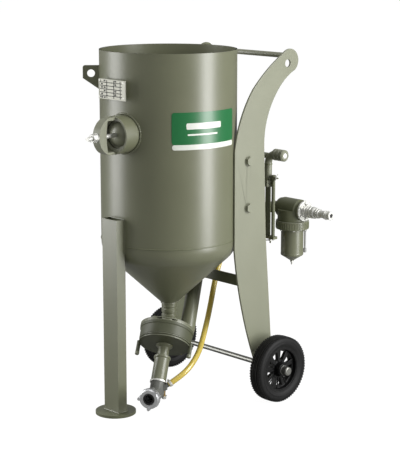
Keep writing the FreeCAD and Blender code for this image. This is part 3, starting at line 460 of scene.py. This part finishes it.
class FieldTree:
    """A geometry-nodes modifier's tree, with short calls for the few fields used here."""

    def __init__(self, name):
        self.tree = bpy.data.node_groups.new(name, "GeometryNodeTree")
        self.tree.interface.new_socket("Geometry", in_out="INPUT",
                                       socket_type="NodeSocketGeometry")
        self.tree.interface.new_socket("Geometry", in_out="OUTPUT",
                                       socket_type="NodeSocketGeometry")
        self.flow = self.tree.nodes.new("NodeGroupInput").outputs[0]

    def node(self, kind, **values):
        made = self.tree.nodes.new(kind)
        for key, value in values.items():
            setattr(made, key, value)
        return made

    def fill(self, socket, value):
        if isinstance(value, bpy.types.NodeSocket):
            self.tree.links.new(value, socket)
        else:
            socket.default_value = value

    def vector(self, operation, first, second=None):
        made = self.node("ShaderNodeVectorMath", operation=operation)
        self.fill(made.inputs[0], first)
        if second is not None:
            self.fill(made.inputs["Scale" if operation == "SCALE" else 1], second)
        return made.outputs["Value" if operation in ("DOT_PRODUCT", "LENGTH") else "Vector"]

    def math(self, operation, first, second):
        made = self.node("ShaderNodeMath", operation=operation)
        self.fill(made.inputs[0], first)
        self.fill(made.inputs[1], second)
        return made.outputs[0]

    def of_face(self, field):
        made = self.node("GeometryNodeFieldOnDomain", domain="FACE", data_type="FLOAT_VECTOR")
        self.fill(made.inputs[0], field)
        return made.outputs[0]

    def step(self, kind, **values):
        """A node that the mesh passes through."""
        made = self.node(kind, **values)
        self.tree.links.new(self.flow, made.inputs[0])
        self.flow = made.outputs[0]
        return made

    def on(self, piece):
        end = self.tree.nodes.new("NodeGroupOutput")
        self.tree.links.new(self.flow, end.inputs[0])
        modifier = piece.modifiers.new(self.tree.name, "NODES")
        modifier.node_group = self.tree


def shade_smooth():
    fields = FieldTree("smooth")
    fields.step("GeometryNodeSetShadeSmooth", domain="FACE")
    return fields


def round_wall(piece):
    """Normals of a true cylinder on the vessel's wall, whatever its triangles."""
    wall_share = 0.9              # how squarely a face looks along the radius to be wall
    fields = shade_smooth()
    place = fields.vector("SUBTRACT", fields.node("GeometryNodeInputPosition").outputs[0],
                          tuple(TANK))
    out = fields.vector("NORMALIZE", fields.vector("MULTIPLY", place, (1, 1, 0)))
    face = fields.of_face(fields.node("GeometryNodeInputNormal").outputs["True Normal"])
    facing = fields.vector("DOT_PRODUCT", face, out)
    outside = fields.math("GREATER_THAN", facing, wall_share)
    inside = fields.math("LESS_THAN", facing, -wall_share)
    radial = fields.vector("SCALE", out, fields.math("SUBTRACT", outside, inside))
    other = fields.math("SUBTRACT", 1.0, fields.math("ADD", outside, inside))
    normal = fields.vector("ADD", radial, fields.vector("SCALE", face, other))
    shaded = fields.step("GeometryNodeSetMeshNormal", mode="FREE", domain="CORNER")
    fields.fill(shaded.inputs["Custom Normal"], normal)
    fields.on(piece)


def plate_the_stud(fields):
    """The clamping stud of the handway cover is zinc, not paint."""
    stud_start, stud_radius = 0.33, 0.009
    centre = TANK + UP * HANDWAY_HEIGHT
    face = fields.of_face(fields.node("GeometryNodeInputPosition").outputs[0])
    arm = fields.vector("SUBTRACT", face, tuple(centre))
    reach = fields.vector("DOT_PRODUCT", arm, tuple(HANDWAY_OUT))
    along = fields.vector("SCALE", tuple(HANDWAY_OUT), reach)
    aside = fields.vector("LENGTH", fields.vector("SUBTRACT", arm, along))
    stud = fields.math("MULTIPLY", fields.math("GREATER_THAN", reach, stud_start),
                       fields.math("LESS_THAN", aside, stud_radius))
    plated = fields.step("GeometryNodeSetMaterial")
    fields.fill(plated.inputs["Selection"], stud)
    plated.inputs["Material"].default_value = MATERIALS["zinc"]


def dress_nodes():
    """Every CAD node takes its slot's look, eased edges and smooth shading, by its material
    slot and modifiers alone."""
    merge, largest, smallest, share = 0.00001, 0.0014, 0.0004, 0.006
    slots = {entry["node"]: entry["material_slot"] for entry in frame["record"]["subparts"]}
    for name, piece in NODES.items():
        look = NODE_LOOKS.get(name, SLOT_LOOKS[slots[name]])
        piece.material_slots[0].material = MATERIALS[look]
        if name == "tank_shell":
            round_wall(piece)
            continue
        if name not in FLAT_NODES:
            fields = shade_smooth()
            if name == "handway_cover":
                plate_the_stud(fields)
            fields.on(piece)
        weld = piece.modifiers.new("weld", "WELD")
        weld.merge_threshold = merge
        size = max(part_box(name)[1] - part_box(name)[0])
        bevel(piece, width=min(largest, max(smallest, size * share)), angle=38)
        if name not in FLAT_NODES:
            smooth = piece.modifiers.new("normals", "WEIGHTED_NORMAL")
            smooth.keep_sharp = True


# ---------------------------------------------------------------- vessel details

def ring_points(centre, axis, radius, count):
    side, other = frame_along(axis)
    return [centre + (side * math.cos(2 * math.pi * step / count)
                      + other * math.sin(2 * math.pi * step / count)) * radius
            for step in range(count)]


def saddle_points(axis, height, radius, count):
    """Where a pipe of that radius, standing out along axis, meets the vessel's wall."""
    side = UP.cross(axis).normalized()
    points = []
    for step in range(count):
        angle = 2 * math.pi * step / count
        lateral = radius * math.cos(angle)
        reach = math.sqrt(TANK_RADIUS ** 2 - lateral ** 2)
        points.append(TANK + axis * reach + side * lateral
                      + UP * (height + radius * math.sin(angle)))
    return points


def vessel_details():
    sweep("seam_weld", ring_points(TANK + UP * SEAM, UP, TANK_RADIUS, 360), 0.0022, "dark_paint",
          closed=True, sides=8, ripple=0.12, slot="paint")
    sweep("handway_weld", saddle_points(HANDWAY_OUT, HANDWAY_HEIGHT, 0.0712, 140), 0.0035,
          "paint", closed=True, sides=8, ripple=0.15, slot="paint")
    lathe("rim_bead", [(TANK_RADIUS - 0.0052, RIM - 0.0012), (TANK_RADIUS - 0.0046, RIM),
                       (TANK_RADIUS - 0.0006, RIM), (TANK_RADIUS - 0.0001, RIM - 0.0012)],
          TANK, UP, "paint", segments=220, slot="paint")


def label():
    curved_panel("label_face", (51, 114), (0.9985, 1.112), 0.010, (0.2501, 0.2508), "green",
                 slot="label_green", replaces=["label_panel"])
    curved_panel("label_foot", (51.3, 113.7), (0.980, 0.9985), 0.008, (0.2501, 0.2509), "white",
                 slot="label_green")
    curved_panel("label_bar_tall", (63, 96), (1.052, 1.074), 0.004, (0.2505, 0.2510), "white",
                 slot="label_green")
    curved_panel("label_bar_low", (64, 92), (1.030, 1.036), 0.002, (0.2505, 0.2510), "white",
                 slot="label_green")


def strips(name, places, size, axes, look, **kept):
    """Many small bars of one size as one piece; each place is a centre, or (centre, axes)."""
    vertices, faces = [], []
    for place in places:
        centre, turned = place if isinstance(place, tuple) else (place, axes)
        first = len(vertices)
        vertices += [centre + turned[0] * (size[0] / 2 * one) + turned[1] * (size[1] / 2 * two)
                     + turned[2] * (size[2] / 2 * three)
                     for one in (-1, 1) for two in (-1, 1) for three in (-1, 1)]
        faces += [tuple(first + corner for corner in face) for face in
                  ((0, 1, 3, 2), (4, 6, 7, 5), (0, 4, 5, 1), (2, 3, 7, 6), (0, 2, 6, 4),
                   (1, 5, 7, 3))]
    piece = make_piece(name, vertices, faces, look, smooth=False, **kept)
    bevel(piece, width=min(size) * 0.2)
    return piece


def data_plate():
    """A generic plate: a raised frame, ruled lines and blank entries, four rivets."""
    lowest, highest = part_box("data_plate")
    wide, tall = highest.x - lowest.x, highest.z - lowest.z
    face, centre = lowest.y - 0.0004, middle("data_plate")
    axes = (Vector((1, 0, 0)), Vector((0, 1, 0)), UP)

    def on_face(across, up):
        return Vector((lowest.x + wide * across, face, lowest.z + tall * up))
    rows = [on_face(0.46, row / 6) for row in range(1, 6)]
    strips("plate_rules", rows, (wide * 0.84, 0.0008, 0.0024), axes, "ink", slot="plate_metal")
    strips("plate_columns", [on_face(share, 0.5) for share in (0.30, 0.56, 0.80)],
           (0.0026, 0.0008, tall * 0.9), axes, "ink", slot="plate_metal")
    entries = [on_face(share, (row + 0.5) / 6) for row in range(6)
               for share in (0.12, 0.22, 0.62) if (row + round(share * 10)) % 3]
    strips("plate_entries", entries, (0.0085, 0.0008, 0.0052), axes, "ink", slot="plate_metal")
    frame_bars = [(on_face(0.5, 0.015), (wide, 0.0016, 0.0024)),
                  (on_face(0.5, 0.985), (wide, 0.0016, 0.0024)),
                  (on_face(0.008, 0.5), (0.0024, 0.0016, tall)),
                  (on_face(0.93, 0.5), (0.017, 0.0024, tall))]
    for index, (place, size) in enumerate(frame_bars):
        brick(f"plate_frame_{index}", place, size, axes, "plate", slot="plate_metal")
    for corner, (across, up) in enumerate(((0.93, 0.12), (0.93, 0.88), (0.04, 0.09),
                                           (0.04, 0.91))):
        lathe(f"plate_rivet_{corner}",
              [(0.0, 0.0), (0.0032, 0.0), (0.0028, 0.0022), (0.0, 0.003)],
              on_face(across, up), Vector((0, -1, 0)), "zinc", segments=20, closed=False,
              slot="plate_metal")
    strips("plate_shadow_gap", [Vector((centre.x, highest.y + 0.0012, lowest.z + 0.008)),
                                Vector((centre.x, highest.y + 0.0012, highest.z - 0.008))],
           (wide * 0.9, 0.0024, 0.004), axes, "dark_paint", slot="paint")


# ---------------------------------------------------------------- welds

def bead(name, path, radius=0.003, closed=False, look="paint"):
    sweep(name, path, radius, look, closed=closed, sides=8, ripple=0.16, slot="paint")


def line_points(start, end, step=0.004):
    count = max(4, int((end - start).length / step))
    return [start.lerp(end, index / count) for index in range(count + 1)]


def welds():
    boss_ring = 0.0225
    for label, side in SIDES:
        for level in BOLT_LEVELS:
            points = []
            for step in range(60):
                angle = 2 * math.pi * step / 60
                y = BOLT_Y + boss_ring * math.cos(angle)
                z = level + boss_ring * math.sin(angle)
                points.append(at(side * math.sqrt(TANK_RADIUS ** 2 - y * y), y, z))
            bead(f"boss_weld_{label}_{round(level * 1000)}", points, 0.0028, closed=True)
        inner = side * PLATE_FACE
        bead(f"brace_weld_{label}", ring_rectangle(at(inner, 0.195, 0.452), 0.0042, 0.0208),
             0.0022, closed=True, look="dark_paint")
        # The grip and axle welds take the lighter paint copy: painted light.
        for part, centre, radius in (("grip", at(inner, INLET_Y, 1.280), 0.0102),
                                     ("axle", at(inner, AXLE_Y, AXLE_HEIGHT), 0.0104)):
            bead(f"{part}_weld_{label}", ring_points(centre, RIGHT, radius, 48), 0.0022,
                 closed=True, look="light_paint")
        edge_y = -math.sqrt(TANK_RADIUS ** 2 - 0.040 ** 2)
        bead(f"leg_weld_{label}", line_points(at(side * 0.0402, edge_y, 0.600),
                                              at(side * 0.0402, edge_y, 0.722)), 0.003)
    top_arc = [at(TANK_RADIUS * math.sin(angle), -TANK_RADIUS * math.cos(angle), 0.7242)
               for angle in [math.radians(-9.2 + 18.4 * step / 24) for step in range(25)]]
    bead("leg_top_weld", top_arc, 0.003)
    bead("foot_weld", [at(x, -0.264 + y, 0.0105) for x, y in rectangle_loop(0.0405, 0.0205)],
         0.003, closed=True)
    lug = leaning(-39)
    aside = UP.cross(lug).normalized() * 0.0052
    for label, offset in (("near", aside), ("far", -aside)):
        foot = TANK + lug * (TANK_RADIUS + 0.0002) + offset
        bead(f"lug_weld_{label}", line_points(foot + UP * 1.171, foot + UP * 1.256), 0.0026)
    socket_radius, slope = 0.029, math.tan(math.radians(43))
    bead("socket_weld", ring_points(TANK + UP * (0.578 - (TANK_RADIUS - socket_radius) * slope),
                                    UP, socket_radius + 0.0005, 70), 0.003, closed=True)


def rectangle_loop(half_x, half_y, count=18):
    corners = [(-half_x, -half_y), (half_x, -half_y), (half_x, half_y), (-half_x, half_y)]
    points = []
    for index, (x, y) in enumerate(corners):
        to_x, to_y = corners[(index + 1) % 4]
        points += [(x + (to_x - x) * step / count, y + (to_y - y) * step / count)
                   for step in range(count)]
    return points


def ring_rectangle(centre, half_y, half_z):
    return [centre + Vector((0, y, z)) for y, z in rectangle_loop(half_y, half_z)]


# ---------------------------------------------------------------- handway, valve and coupling

def handway_details():
    centre = TANK + UP * HANDWAY_HEIGHT
    lathe("handway_washer", [(0.0086, 0.0), (0.016, 0.0), (0.016, 0.002), (0.0086, 0.002)],
          centre + HANDWAY_OUT * 0.3903, HANDWAY_OUT, "zinc", segments=48, body="crab_nut",
          slot="zinc")
    # The mouth bead and lip edge are in the lighter paint copy: painted highlights on the neck's
    # edges.
    lathe("handway_mouth_bead", [(0.0606, 0.3070), (0.0612, 0.3086), (0.0674, 0.3086),
                                 (0.0683, 0.3070)], centre, HANDWAY_OUT, "light_paint",
          segments=120, slot="paint")
    lathe("handway_lip_edge", [(0.0500, 0.2838), (0.0500, 0.2850), (0.0600, 0.2850),
                               (0.0600, 0.2838)], centre, HANDWAY_OUT, "light_paint",
          segments=100, slot="paint")


def valve_details():
    # Light rings on the edges of the cover: painted highlights.
    lathe("cover_upper_edge", [(0.0985, 0.0448), (0.1006, 0.0462), (0.1006, 0.0486),
                               (0.0985, 0.0494)], VALVE_TOP, VALVE_AXIS, "light_paint",
          segments=140, slot="paint")
    lathe("cover_lower_edge", [(0.0985, 0.0540), (0.1007, 0.0548), (0.1007, 0.0572),
                               (0.0985, 0.0580)], VALVE_TOP, VALVE_AXIS, "light_paint",
          segments=140, slot="paint")
    # Light rings on the adjuster's edges: painted highlights.
    for index, level in enumerate((0.1066, 0.1158)):
        lathe(f"adjuster_edge_{index}",
              [(0.0945, level), (0.0966, level), (0.0966, level + 0.0016),
               (0.0945, level + 0.0016)], VALVE_TOP, VALVE_AXIS, "light_paint", segments=140,
              body="adjuster", slot="dark_paint")
    for index, turn in enumerate((62, 112, 162, 212, 262, 306)):
        out = ACROSS * math.cos(math.radians(turn)) + BEYOND * math.sin(math.radians(turn))
        hex_bolt(f"cover_bolt_{index}", VALVE_TOP + VALVE_AXIS * 0.0449 + out * 0.088,
                 -VALVE_AXIS, 0.0065, 0.006, "dark_paint", washer=1.5, slot="paint")
    for side in (1, -1):
        tip = VALVE_TOP + VALVE_AXIS * 0.152 + ACROSS * (side * 0.099)
        lathe(f"handle_tip_{'right' if side > 0 else 'left'}",
              [(0.0078, 0.0), (0.0080, 0.002), (0.0080, 0.010), (0.006, 0.0125), (0.0, 0.0128),
               (0.0, 0.0)], tip - VALVE_AXIS * 0.002, VALVE_AXIS, "light_paint", segments=32,
              closed=False, body="adjuster", slot="dark_paint")
    lathe("outlet_end_ring", [(0.0282, 0.2618), (0.0306, 0.2618), (0.0306, 0.2686),
                              (0.0282, 0.2686)], VALVE_TOP, VALVE_AXIS, "zinc", segments=90,
          slot="zinc")
    start = TEE + PORT_AXIS * 0.034
    lathe("drain_screw_stem", [(0.0, 0.0), (0.0048, 0.0), (0.0048, 0.032), (0.0, 0.032)], start,
          -UP, "brass", segments=28, closed=False, slot="brass")
    hex_bolt("drain_screw", start - UP * 0.032, -UP, 0.0072, 0.012, "zinc", washer=1.4,
             slot="zinc")


def coupling_details():
    face = TEE + COUPLING_AXIS * 0.084
    lathe("claw_face_ring", [(0.0215, -0.0004), (0.0225, 0.0012), (0.0330, 0.0012),
                             (0.0345, -0.0004)], face, COUPLING_AXIS, "casting", segments=90,
          slot="casting")
    level = leaning(120)
    places = []
    for turn in (0, 60, 120, 180, 240, 300):
        angle = math.radians(turn + 15)
        out = level * math.cos(angle) + UP * math.sin(angle)
        places.append((face - COUPLING_AXIS * 0.016 + out * 0.0368,
                       (out, COUPLING_AXIS, out.cross(COUPLING_AXIS))))
    strips("claw_ribs", places, (0.004, 0.020, 0.006), None, "casting", slot="casting")


def clamp_details():
    """A worm screw in its housing on each hose clamp."""
    ends = [(TEE + PORT_AXIS * 0.061, PORT_AXIS), (at(0, CHOKE_Y, 0.590), UP)]
    for index, (place, axis) in enumerate(ends):
        side, other = frame_along(axis)
        block_at = place + side * 0.0148
        brick(f"clamp_housing_{index}", block_at, (0.006, 0.015, 0.010), (side, other, axis),
              "zinc", slot="zinc")
        hex_bolt(f"clamp_screw_{index}", block_at + other * 0.0075, other, 0.0034, 0.004, "zinc",
                 washer=0, slot="zinc")


# ---------------------------------------------------------------- air side

def separator_details():
    centre = at(SEPARATOR_X, SEPARATOR_Y, 0)
    places = []
    for step in range(40):
        angle = 2 * math.pi * step / 40
        out = Vector((math.cos(angle), math.sin(angle), 0))
        places.append((centre + out * 0.0637 + UP * 0.625, (out, UP.cross(out), UP)))
    strips("clamp_ring_ribs", places, (0.0016, 0.0045, 0.024), None, "dark_paint", slot="paint")
    # A light ring on the clamp ring's upper edge: painted highlight.
    lathe("clamp_ring_upper_edge", [(0.0570, 0.6400), (0.0570, 0.6420), (0.0630, 0.6420),
                                    (0.0638, 0.6400)], centre, UP, "light_paint", segments=100,
          slot="paint")
    for step in range(6):
        angle = math.radians(60 * step + 20)
        out = Vector((math.cos(angle), math.sin(angle), 0))
        hex_bolt(f"clamp_ring_screw_{step}", centre + out * 0.0530 + UP * 0.6098, -UP, 0.0042,
                 0.005, "zinc", washer=1.3, slot="zinc")
    lathe("bowl_step", [(0.0433, 0.5070), (0.0440, 0.5090), (0.0440, 0.5130), (0.0433, 0.5150)],
          centre, UP, "paint", segments=90, slot="paint")
    nipple = at(0, SEPARATOR_Y, 0.685)
    for index, (radius, distance) in enumerate(((0.0222, 0.2485), (0.0222, 0.2625),
                                                (0.0182, 0.2905), (0.0172, 0.3345))):
        lathe(f"nipple_ring_{index}",
              [(radius - 0.0004, distance), (radius + 0.0008, distance + 0.0006),
               (radius + 0.0008, distance + 0.0024), (radius - 0.0004, distance + 0.003)],
              nipple, RIGHT, "zinc", segments=72, slot="zinc")
    lathe("inlet_dark_bore", [(0.0, 0.3300), (0.0079, 0.3300), (0.0079, 0.3590), (0.0, 0.3590)],
          nipple, RIGHT, "rubber", segments=36, closed=False, slot="rubber")
    for step in range(6):
        angle = math.radians(60 * step + 30)
        out = Vector((0, math.cos(angle), math.sin(angle)))
        hex_bolt(f"flange_screw_{step}", nipple + RIGHT * 0.2272 + out * 0.0315, RIGHT, 0.0042,
                 0.004, "zinc", washer=0, slot="zinc")


def air_details():
    centre = at(0, INLET_Y, 0)
    for step in range(8):
        angle = math.radians(45 * step + 22.5)
        out = Vector((math.cos(angle), math.sin(angle), 0))
        hex_bolt(f"valve_bolt_{step}", centre + out * 0.0483 + UP * 0.8560, UP, 0.0048, 0.005,
                 "zinc", washer=1.3, slot="zinc")
    lathe("inlet_cap_edge", [(0.0418, 0.9150), (0.0428, 0.9165), (0.0428, 0.9195),
                             (0.0418, 0.9210)], centre, UP, "dark_paint", segments=90,
          slot="dark_paint")
    pipe = at(0.119, 0.400, 0)
    for index, (level, radius) in enumerate(((0.8070, 0.0148), (0.8620, 0.0143))):
        lathe(f"exhaust_collar_{index}",
              [(radius - 0.001, level), (radius + 0.0012, level + 0.001),
               (radius + 0.0012, level + 0.005), (radius - 0.001, level + 0.006)],
              pipe, UP, "dark_paint", segments=60, slot="dark_paint")
    lathe("silencer_end_cap", [(0.0, 0.2050), (0.0118, 0.2050), (0.0100, 0.2078), (0.0, 0.2086)],
          at(0, 0.400, 0.905), RIGHT, "zinc", segments=48, closed=False,
          slot="zinc")


# ---------------------------------------------------------------- wheels

def wheels():
    tread = [(-0.0190, 0.1238), (-0.0145, 0.1247), (-0.0142, 0.1226), (-0.0118, 0.1226),
             (-0.0115, 0.1249), (-0.0048, 0.1249), (-0.0045, 0.1226), (-0.0021, 0.1226),
             (-0.0018, 0.1250)]
    side = [(-0.0250, 0.0862), (-0.0262, 0.0900), (-0.0282, 0.0960), (-0.0287, 0.1010),
            (-0.0280, 0.1020), (-0.0280, 0.1035), (-0.0289, 0.1045), (-0.0289, 0.1115),
            (-0.0283, 0.1150), (-0.0262, 0.1190), (-0.0230, 0.1220)]
    half = [(radius, distance) for distance, radius in side + tread]
    profile = half + [(radius, -distance) for radius, distance in reversed(half)]
    for label, way in SIDES:
        hub = at(way * 0.304, AXLE_Y, AXLE_HEIGHT)
        out = Vector((way, 0, 0))
        lathe(f"{label}_tyre_moulded", profile, hub, out, "tyre", segments=160,
              body=f"{label}_wheel", slot="tyre", replaces=[f"{label}_tyre"])
        lugs = []
        for step in range(72):
            angle = 2 * math.pi * step / 72
            radial = Vector((0, math.cos(angle), math.sin(angle)))
            for edge in (-1, 1):
                lugs.append((hub + radial * 0.1222 + out * (edge * 0.0212),
                             (radial, out, out.cross(radial))))
        strips(f"{label}_tread_lugs", lugs, (0.0032, 0.0075, 0.0052), None, "tyre",
               body=f"{label}_wheel", slot="tyre")
        lathe(f"{label}_rim_lip", [(0.0800, 0.0226), (0.0800, 0.0246), (0.0855, 0.0252),
                                   (0.0872, 0.0240), (0.0860, 0.0226)], hub, out, "plastic",
              segments=120, body=f"{label}_wheel", slot="wheel_plastic")
        lathe(f"{label}_hub_ring", [(0.0185, 0.0308), (0.0185, 0.0322), (0.0228, 0.0322),
                                    (0.0240, 0.0308)], hub, out, "plastic", segments=72,
              body=f"{label}_wheel", slot="wheel_plastic")
        spokes = []
        for step in range(9):
            angle = 2 * math.pi * (step + 0.5) / 9
            radial = Vector((0, math.cos(angle), math.sin(angle)))
            spokes.append((hub + radial * 0.0505 + out * 0.0092,
                           (radial, out, out.cross(radial))))
        strips(f"{label}_spoke_ribs", spokes, (0.046, 0.0036, 0.0042), None, "plastic",
               body=f"{label}_wheel", slot="wheel_plastic")
        lathe(f"{label}_axle_washer", [(0.0103, 0.0), (0.0175, 0.0), (0.0175, 0.0022),
                                       (0.0103, 0.0022)],
              at(way * 0.3356, AXLE_Y, AXLE_HEIGHT), out, "zinc", segments=48,
              slot="zinc")


def plate_washers():
    # The washers take the lighter paint copy: painted light.
    for label, side in SIDES:
        for level in BOLT_LEVELS:
            lathe(f"bolt_washer_{label}_{round(level * 1000)}",
                  [(0.0112, 0.0), (0.0195, 0.0), (0.0195, 0.0018), (0.0112, 0.0018)],
                  at(side * 0.2302, BOLT_Y, level), Vector((side, 0, 0)), "light_paint",
                  segments=56, slot="paint")


# ---------------------------------------------------------------- stage and light

def softbox(name, azimuth, distance, height, size, power, aim_height=0.75):
    data = bpy.data.lights.new(name, "AREA")
    data.shape = "RECTANGLE"
    data.size, data.size_y = size
    data.energy = power
    light = bpy.data.objects.new(name, data)
    bpy.context.scene.collection.objects.link(light)
    out = leaning(azimuth)
    light.location = at(out.x * distance, out.y * distance, height)
    aim = at(0, 0, aim_height) - light.location
    light.rotation_euler = aim.to_track_quat("-Z", "Y").to_euler()
    light.visible_camera = False


def make_stage():
    scene = bpy.context.scene
    scene.view_settings.view_transform = "Standard"
    floor_mesh = bpy.data.meshes.new("floor")
    reach = 30.0
    floor_mesh.from_pydata([(-reach, -reach, -0.0005), (reach, -reach, -0.0005),
                            (reach, reach, -0.0005), (-reach, reach, -0.0005)], [], [(0, 1, 2, 3)])
    floor = bpy.data.objects.new("floor", floor_mesh)
    scene.collection.objects.link(floor)
    floor.data.materials.append(white_floor())
    scene.world = white_world()

    softbox("right_softbox", 114, 2.8, 1.25, (1.0, 2.8), 112)
    softbox("left_softbox", -46, 3.0, 1.1, (1.5, 2.4), 66)
    softbox("top_softbox", 20, 0.6, 3.4, (2.0, 2.0), 22)


def seen_and_lit(tree, seen, lit):
    """Mixes two shaders: one that the camera sees, one that lights the object."""
    path = tree.nodes.new("ShaderNodeLightPath")
    mix = tree.nodes.new("ShaderNodeMixShader")
    tree.links.new(path.outputs["Is Camera Ray"], mix.inputs["Fac"])
    tree.links.new(lit.outputs[0], mix.inputs[1])
    tree.links.new(seen.outputs[0], mix.inputs[2])
    return mix


def white_floor():
    """A white sweep that keeps only a faint contact shadow, and gives back a soft grey bounce."""
    material = bpy.data.materials.new("white_floor")
    material.use_nodes = True
    tree = material.node_tree
    tree.nodes.remove(tree.nodes["Principled BSDF"])
    glow = tree.nodes.new("ShaderNodeEmission")
    glow.inputs["Strength"].default_value = 0.96
    shade = tree.nodes.new("ShaderNodeBsdfDiffuse")
    shade.inputs["Color"].default_value = (0.1, 0.1, 0.1, 1)
    both = tree.nodes.new("ShaderNodeAddShader")
    tree.links.new(glow.outputs[0], both.inputs[0])
    tree.links.new(shade.outputs[0], both.inputs[1])
    bounce = tree.nodes.new("ShaderNodeBsdfDiffuse")
    bounce.inputs["Color"].default_value = (0.32, 0.32, 0.31, 1)
    mix = seen_and_lit(tree, both, bounce)
    tree.links.new(mix.outputs[0], tree.nodes["Material Output"].inputs["Surface"])
    return material


def white_world():
    world = bpy.data.worlds.new("studio")
    world.use_nodes = True
    tree = world.node_tree
    seen = tree.nodes["Background"]
    seen.inputs["Color"].default_value = (1, 1, 1, 1)
    seen.inputs["Strength"].default_value = 1.0
    lit = tree.nodes.new("ShaderNodeBackground")
    lit.inputs["Color"].default_value = (1, 1, 1, 1)
    lit.inputs["Strength"].default_value = 0.46
    mix = seen_and_lit(tree, seen, lit)
    tree.links.new(mix.outputs[0], tree.nodes["World Output"].inputs["Surface"])
    return world


make_camera()
make_hose()
dress_nodes()
vessel_details()
label()
data_plate()
welds()
handway_details()
valve_details()
coupling_details()
clamp_details()
separator_details()
air_details()
wheels()
plate_washers()
make_stage()
